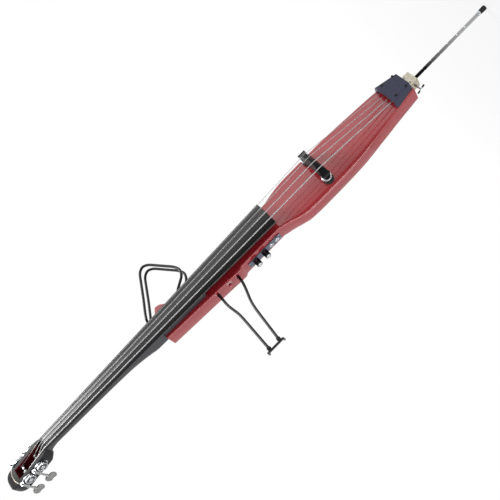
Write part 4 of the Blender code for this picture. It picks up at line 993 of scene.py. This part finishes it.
def make_controls():
    x_in = RECESS_X - GAP
    x_out = x_in - 2.0
    panel = add_piece("brushed_panel", block((x_out, x_in), (-9.0, 15.0), (853.0, 973.0)), PANEL,
                      stands_for=("control_panel",), edge=0.4)
    for i, z in enumerate((950.0, 917.0)):
        cut(panel, f"panel_pot_hole_{i}", turned(((-60.0, 4.8), (-20.0, 4.8)), (0, 3.0, z), (1, 0, 0)))
        name = ("volume", "tone")[i]
        face = x_out - 0.5

        def ribs(along, angle):
            return -0.5 * (0.5 - 0.5 * math.cos(36 * angle)) if 2.5 < along < 15.5 else 0.0
        profile = [(0.0, 9.0), (0.6, 9.5), (2.4, 9.5), (2.6, 9.4), (9.0, 9.1), (15.4, 8.9), (15.6, 8.9),
                   (18.6, 8.7), (19.6, 8.1), (20.0, 7.3), (19.4, 6.9), (19.4, 0.5)]
        add_piece(f"ribbed_knob_{name}", turned(profile, (face, 3.0, z), (-1, 0, 0), 144, ribs), KNOB,
                  body=f"knob_{name}", stands_for=(f"knob_{name}",))
        nut = turned(((0.0, 6.8), (0.4, 6.8)), (x_out, 3.0, z), (-1, 0, 0), 6)
        add_piece(f"pot_nut_{name}", nut, CHROME)
        cap = turned(((19.45, 6.6), (19.7, 6.6), (19.95, 6.2)), (face, 3.0, z), (-1, 0, 0))
        add_piece(f"knob_cap_{name}", cap, CHROME, body=f"knob_{name}")
        mark = block((face - 18.0, face - 3.0), (3.0 - 9.35, 3.0 - 8.9), (z - 0.5, z + 0.5))
        add_piece(f"knob_mark_{name}", mark, PANEL, body=f"knob_{name}")
    for i, z in enumerate((890.0, 868.0)):
        cut(panel, f"panel_jack_hole_{i}", turned(((-60.0, 6.3), (-20.0, 6.3)), (0, 3.0, z), (1, 0, 0)))
        name = ("line", "headphone")[i]
        nut = turned(((x_out - 2.2, 7.9), (x_out - 1.9, 8.0), (x_out - 0.1, 8.0)), (0, 3.0, z), (1, 0, 0), 6)
        hex_nut = add_piece(f"jack_nut_{name}", nut, CHROME, stands_for=(f"jack_{name}",), edge=0.3)
        cut(hex_nut, f"jack_nut_bore_{name}", turned(((-60.0, 4.4), (-20.0, 4.4)), (0, 3.0, z), (1, 0, 0), 32))
        ring = turned(((x_out - 3.0, 4.9), (x_out - 2.7, 5.3), (x_out - 0.2, 5.3), (-18.0, 5.3)),
                      (0, 3.0, z), (1, 0, 0), 48)
        bush = add_piece(f"jack_bush_{name}", ring, CHROME)
        cut(bush, f"jack_throat_{name}", turned(((-60.0, 3.3), (-22.0, 3.3)), (0, 3.0, z), (1, 0, 0), 32))
        # A near-black disc down the throat: painted shade.
        lining = turned(((-23.0, 3.2), (-21.9, 3.2)), (0, 3.0, z), (1, 0, 0), 32)
        add_piece(f"jack_painted_shade_disc_{name}", lining, JACK_PAINTED_SHADE)
    for i, (y, z) in enumerate(((-5.5, 857.0), (11.5, 857.0), (-5.5, 969.0), (11.5, 969.0))):
        make_screw(f"panel_screw_{i + 1}", (x_out - 0.5, y, z), (1, 0, 0), 1.8, 0.5, "instrument")


def make_knee_rest():
    for name, path in (("upper", REST_UPPER), ("lower", REST_LOWER)):
        points = [(x, REST_Y, z) for x, z in path]
        add_piece(f"knee_rod_{name}", sweep(rounded_path(points, 22.0), TUBE_R, 24), TUBE,
                  body="knee_rest", stands_for=(f"knee_rest_rod_{name}",), sharp=60.0)
        end = Vector(points[-1])
        way = (end - Vector(points[-2])).normalized()
        sleeve = turned(((-8.0, 5.2), (-7.4, 6.0), (-1.6, 6.0), (-1.0, 5.2)), end, way, 32)
        item = add_piece(f"rod_collar_{name}", sleeve, RUBBER, body="knee_rest",
                         stands_for=(f"knee_rest_collar_{name}",))
        cut(item, f"collar_bore_{name}", turned(((-20.0, 4.2), (20.0, 4.2)), end, way, 32))
    low, high = frame_box("knee_rest_bar")
    bar_r = 3.5
    x, bottom, top = low.x + bar_r, low.z + bar_r, high.z - bar_r
    hook = [(x + 4.0, REST_Y + 18.0, bottom), (x + 2.0, REST_Y + 3.0, bottom), (x, REST_Y, bottom + 4.0),
            (x, REST_Y, top - 4.0), (x + 2.0, REST_Y + 3.0, top), (x + 4.0, REST_Y + 18.0, top)]
    add_piece("knee_bar", sweep(rounded_path(hook, 7.0), bar_r, 24), TUBE, body="knee_rest",
              stands_for=("knee_rest_bar",), sharp=60.0)


def make_bout_frame():
    front = [(x, -FRAME_Y, z) for x, z in FRAME_PATH]
    turn = [(62.0, -11.0, 1289.0), (60.0, 11.0, 1289.0)]
    back = [(x, FRAME_Y, z) for x, z in reversed(FRAME_PATH)]
    add_piece("bent_bout_tube", sweep(rounded_path(front + turn + back, 13.0), TUBE_R, 24), TUBE,
              body="bout_frame", stands_for=("bout_frame",), sharp=60.0)


def finish_frame_nodes():
    """Finishes for the CAD nodes that stay in view."""
    finishes = {"preamp_board": GREEN, "battery": BACK_BLACK, "potentiometer_volume": CHROME,
                "potentiometer_tone": CHROME, "neck_bolt_1": STEEL, "neck_bolt_2": STEEL,
                "bridge_pickup": ZINC, "tailpiece": RUBBER}
    for name, finish in finishes.items():
        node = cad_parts[name]
        node.data.materials.clear()
        node.data.materials.append(finish)


def make_studio():
    floor = bpy.data.meshes.new("floor")
    shape = bmesh.new()
    bmesh.ops.create_circle(shape, cap_ends=True, radius=1.6, segments=96)
    shape.to_mesh(floor)
    shape.free()
    material, shader = plain_finish("white_floor", "F2F2F2", 0.6)
    tree = material.node_tree
    ray = add_node(tree, "ShaderNodeLightPath")
    glow = add_node(tree, "ShaderNodeEmission", {"Strength": 1.0})
    place = add_node(tree, "ShaderNodeTexCoord")
    spread = add_node(tree, "ShaderNodeVectorMath", {"operation": "LENGTH"}, {0: place.outputs["Object"]})
    fade = add_node(tree, "ShaderNodeMapRange", {"From Min": 0.1, "From Max": 1.2, "To Min": 0.75, "To Max": 1.0},
                    {"Value": spread.outputs["Value"]})
    share = add_node(tree, "ShaderNodeMath", {"operation": "MULTIPLY"},
                     {0: ray.outputs["Is Camera Ray"], 1: fade.outputs["Result"]})
    mix = add_node(tree, "ShaderNodeMixShader", links={0: share.outputs["Value"], 1: shader.outputs["BSDF"],
                                                       2: glow.outputs["Emission"]})
    tree.links.new(mix.outputs["Shader"], tree.nodes["Material Output"].inputs["Surface"])
    floor.materials.append(material)
    plane = bpy.data.objects.new("floor", floor)
    plane.location.z = -0.0005
    bpy.context.scene.collection.objects.link(plane)

    world = bpy.data.worlds.new("studio")
    bpy.context.scene.world = world
    world.use_nodes = True
    tree = world.node_tree
    ray = add_node(tree, "ShaderNodeLightPath")
    place = add_node(tree, "ShaderNodeTexCoord")
    toward = add_node(tree, "ShaderNodeVectorMath", {"operation": "DOT_PRODUCT", 1: camera_back()},
                      {0: place.outputs["Generated"]})
    share = add_node(tree, "ShaderNodeMapRange", {"From Min": -1.0, "From Max": 1.0},
                     {"Value": toward.outputs["Value"]})
    walls = add_node(tree, "ShaderNodeValToRGB", links={"Fac": share.outputs["Result"]})
    stops = walls.color_ramp.elements
    stops[0].position, stops[0].color = 0.02, (0.12, 0.12, 0.12, 1.0)
    stops[1].position, stops[1].color = 1.0, (0.03, 0.03, 0.03, 1.0)
    for at, level in ((0.1, 0.8), (0.32, 0.42), (0.5, 0.75), (0.68, 1.0), (0.91, 0.25)):
        stops.new(at).color = (level, level, level, 1.0)
    mirrored = add_node(tree, "ShaderNodeBackground", {"Strength": 1.6}, {"Color": walls.outputs["Color"]})
    even = add_node(tree, "ShaderNodeBackground", {"Color": (1.0, 1.0, 1.0, 1.0), "Strength": 0.42})
    room = add_node(tree, "ShaderNodeMixShader", links={0: ray.outputs["Is Glossy Ray"],
                                                        1: even.outputs["Background"],
                                                        2: mirrored.outputs["Background"]})
    white = add_node(tree, "ShaderNodeBackground", {"Color": (1.0, 1.0, 1.0, 1.0), "Strength": 1.0})
    mix = add_node(tree, "ShaderNodeMixShader", links={0: ray.outputs["Is Camera Ray"],
                                                       1: room.outputs["Shader"],
                                                       2: white.outputs["Background"]})
    tree.links.new(mix.outputs["Shader"], tree.nodes["World Output"].inputs["Surface"])


def camera_right():
    angle = math.radians(CAMERA_AZIMUTH)
    return Vector((math.cos(angle), math.sin(angle), 0.0))


def camera_back():
    angle = math.radians(CAMERA_AZIMUTH)
    return Vector((math.sin(angle), -math.cos(angle), 0.0))


def add_softbox(name, place, aim, size, power):
    data = bpy.data.lights.new(name, "AREA")
    data.shape = "RECTANGLE"
    data.size, data.size_y = size
    data.energy = power
    lamp = bpy.data.objects.new(name, data)
    lamp.location = place
    lamp.rotation_euler = (Vector(aim) - Vector(place)).to_track_quat("-Z", "Y").to_euler()
    bpy.context.scene.collection.objects.link(lamp)


def make_lights():
    middle = Vector((0.0, 0.0, 0.95))
    right, back = camera_right(), camera_back()
    angle = math.radians(-76.0)
    strip = Vector((math.sin(angle), -math.cos(angle), 0.0)) * 2.0
    add_softbox("edge_strip", middle + strip, middle, (0.16, 2.2), 9.0)
    add_softbox("front_softbox", middle + Vector((1.7, -1.5, 1.8)), middle, (1.6, 1.0), 46.0)
    add_softbox("bass_fill", middle - right * 2.4 + back * 1.6, middle, (1.0, 2.0), 8.0)
    add_softbox("back_fill", middle - back * 2.6 + Vector((0, 0, 0.6)), middle, (1.6, 2.0), 10.0)


def make_camera():
    data = bpy.data.cameras.new("camera")
    data.lens = CAMERA_LENS
    data.sensor_width = 36.0
    camera = bpy.data.objects.new("camera", data)
    right, back = camera_right(), camera_back()
    up = Vector((0.0, 0.0, 1.0))
    across = -ROLL_ACROSS * right - ROLL_ALONG * up
    above = ROLL_ALONG * right - ROLL_ACROSS * up
    target = (Vector((0.0, 0.0, CAMERA_LEVEL)) - right * CAMERA_SIDE) * MM
    place = target + back * CAMERA_DISTANCE * MM
    turn = Matrix((across, above, back)).transposed().to_4x4()
    camera.matrix_world = Matrix.Translation(place) @ turn
    bpy.context.scene.collection.objects.link(camera)
    bpy.context.scene.camera = camera


make_body()
make_back_plates()
make_neck()
make_fingerboard()
make_pegbox()
for string_spec in STRING_SPECS:
    make_machine(string_spec)
make_strings()
make_bridge()
make_tail()
make_endpin()
make_controls()
make_knee_rest()
make_bout_frame()
finish_frame_nodes()
make_studio()
make_lights()
make_camera()
bpy.context.scene.view_settings.view_transform = "Standard"
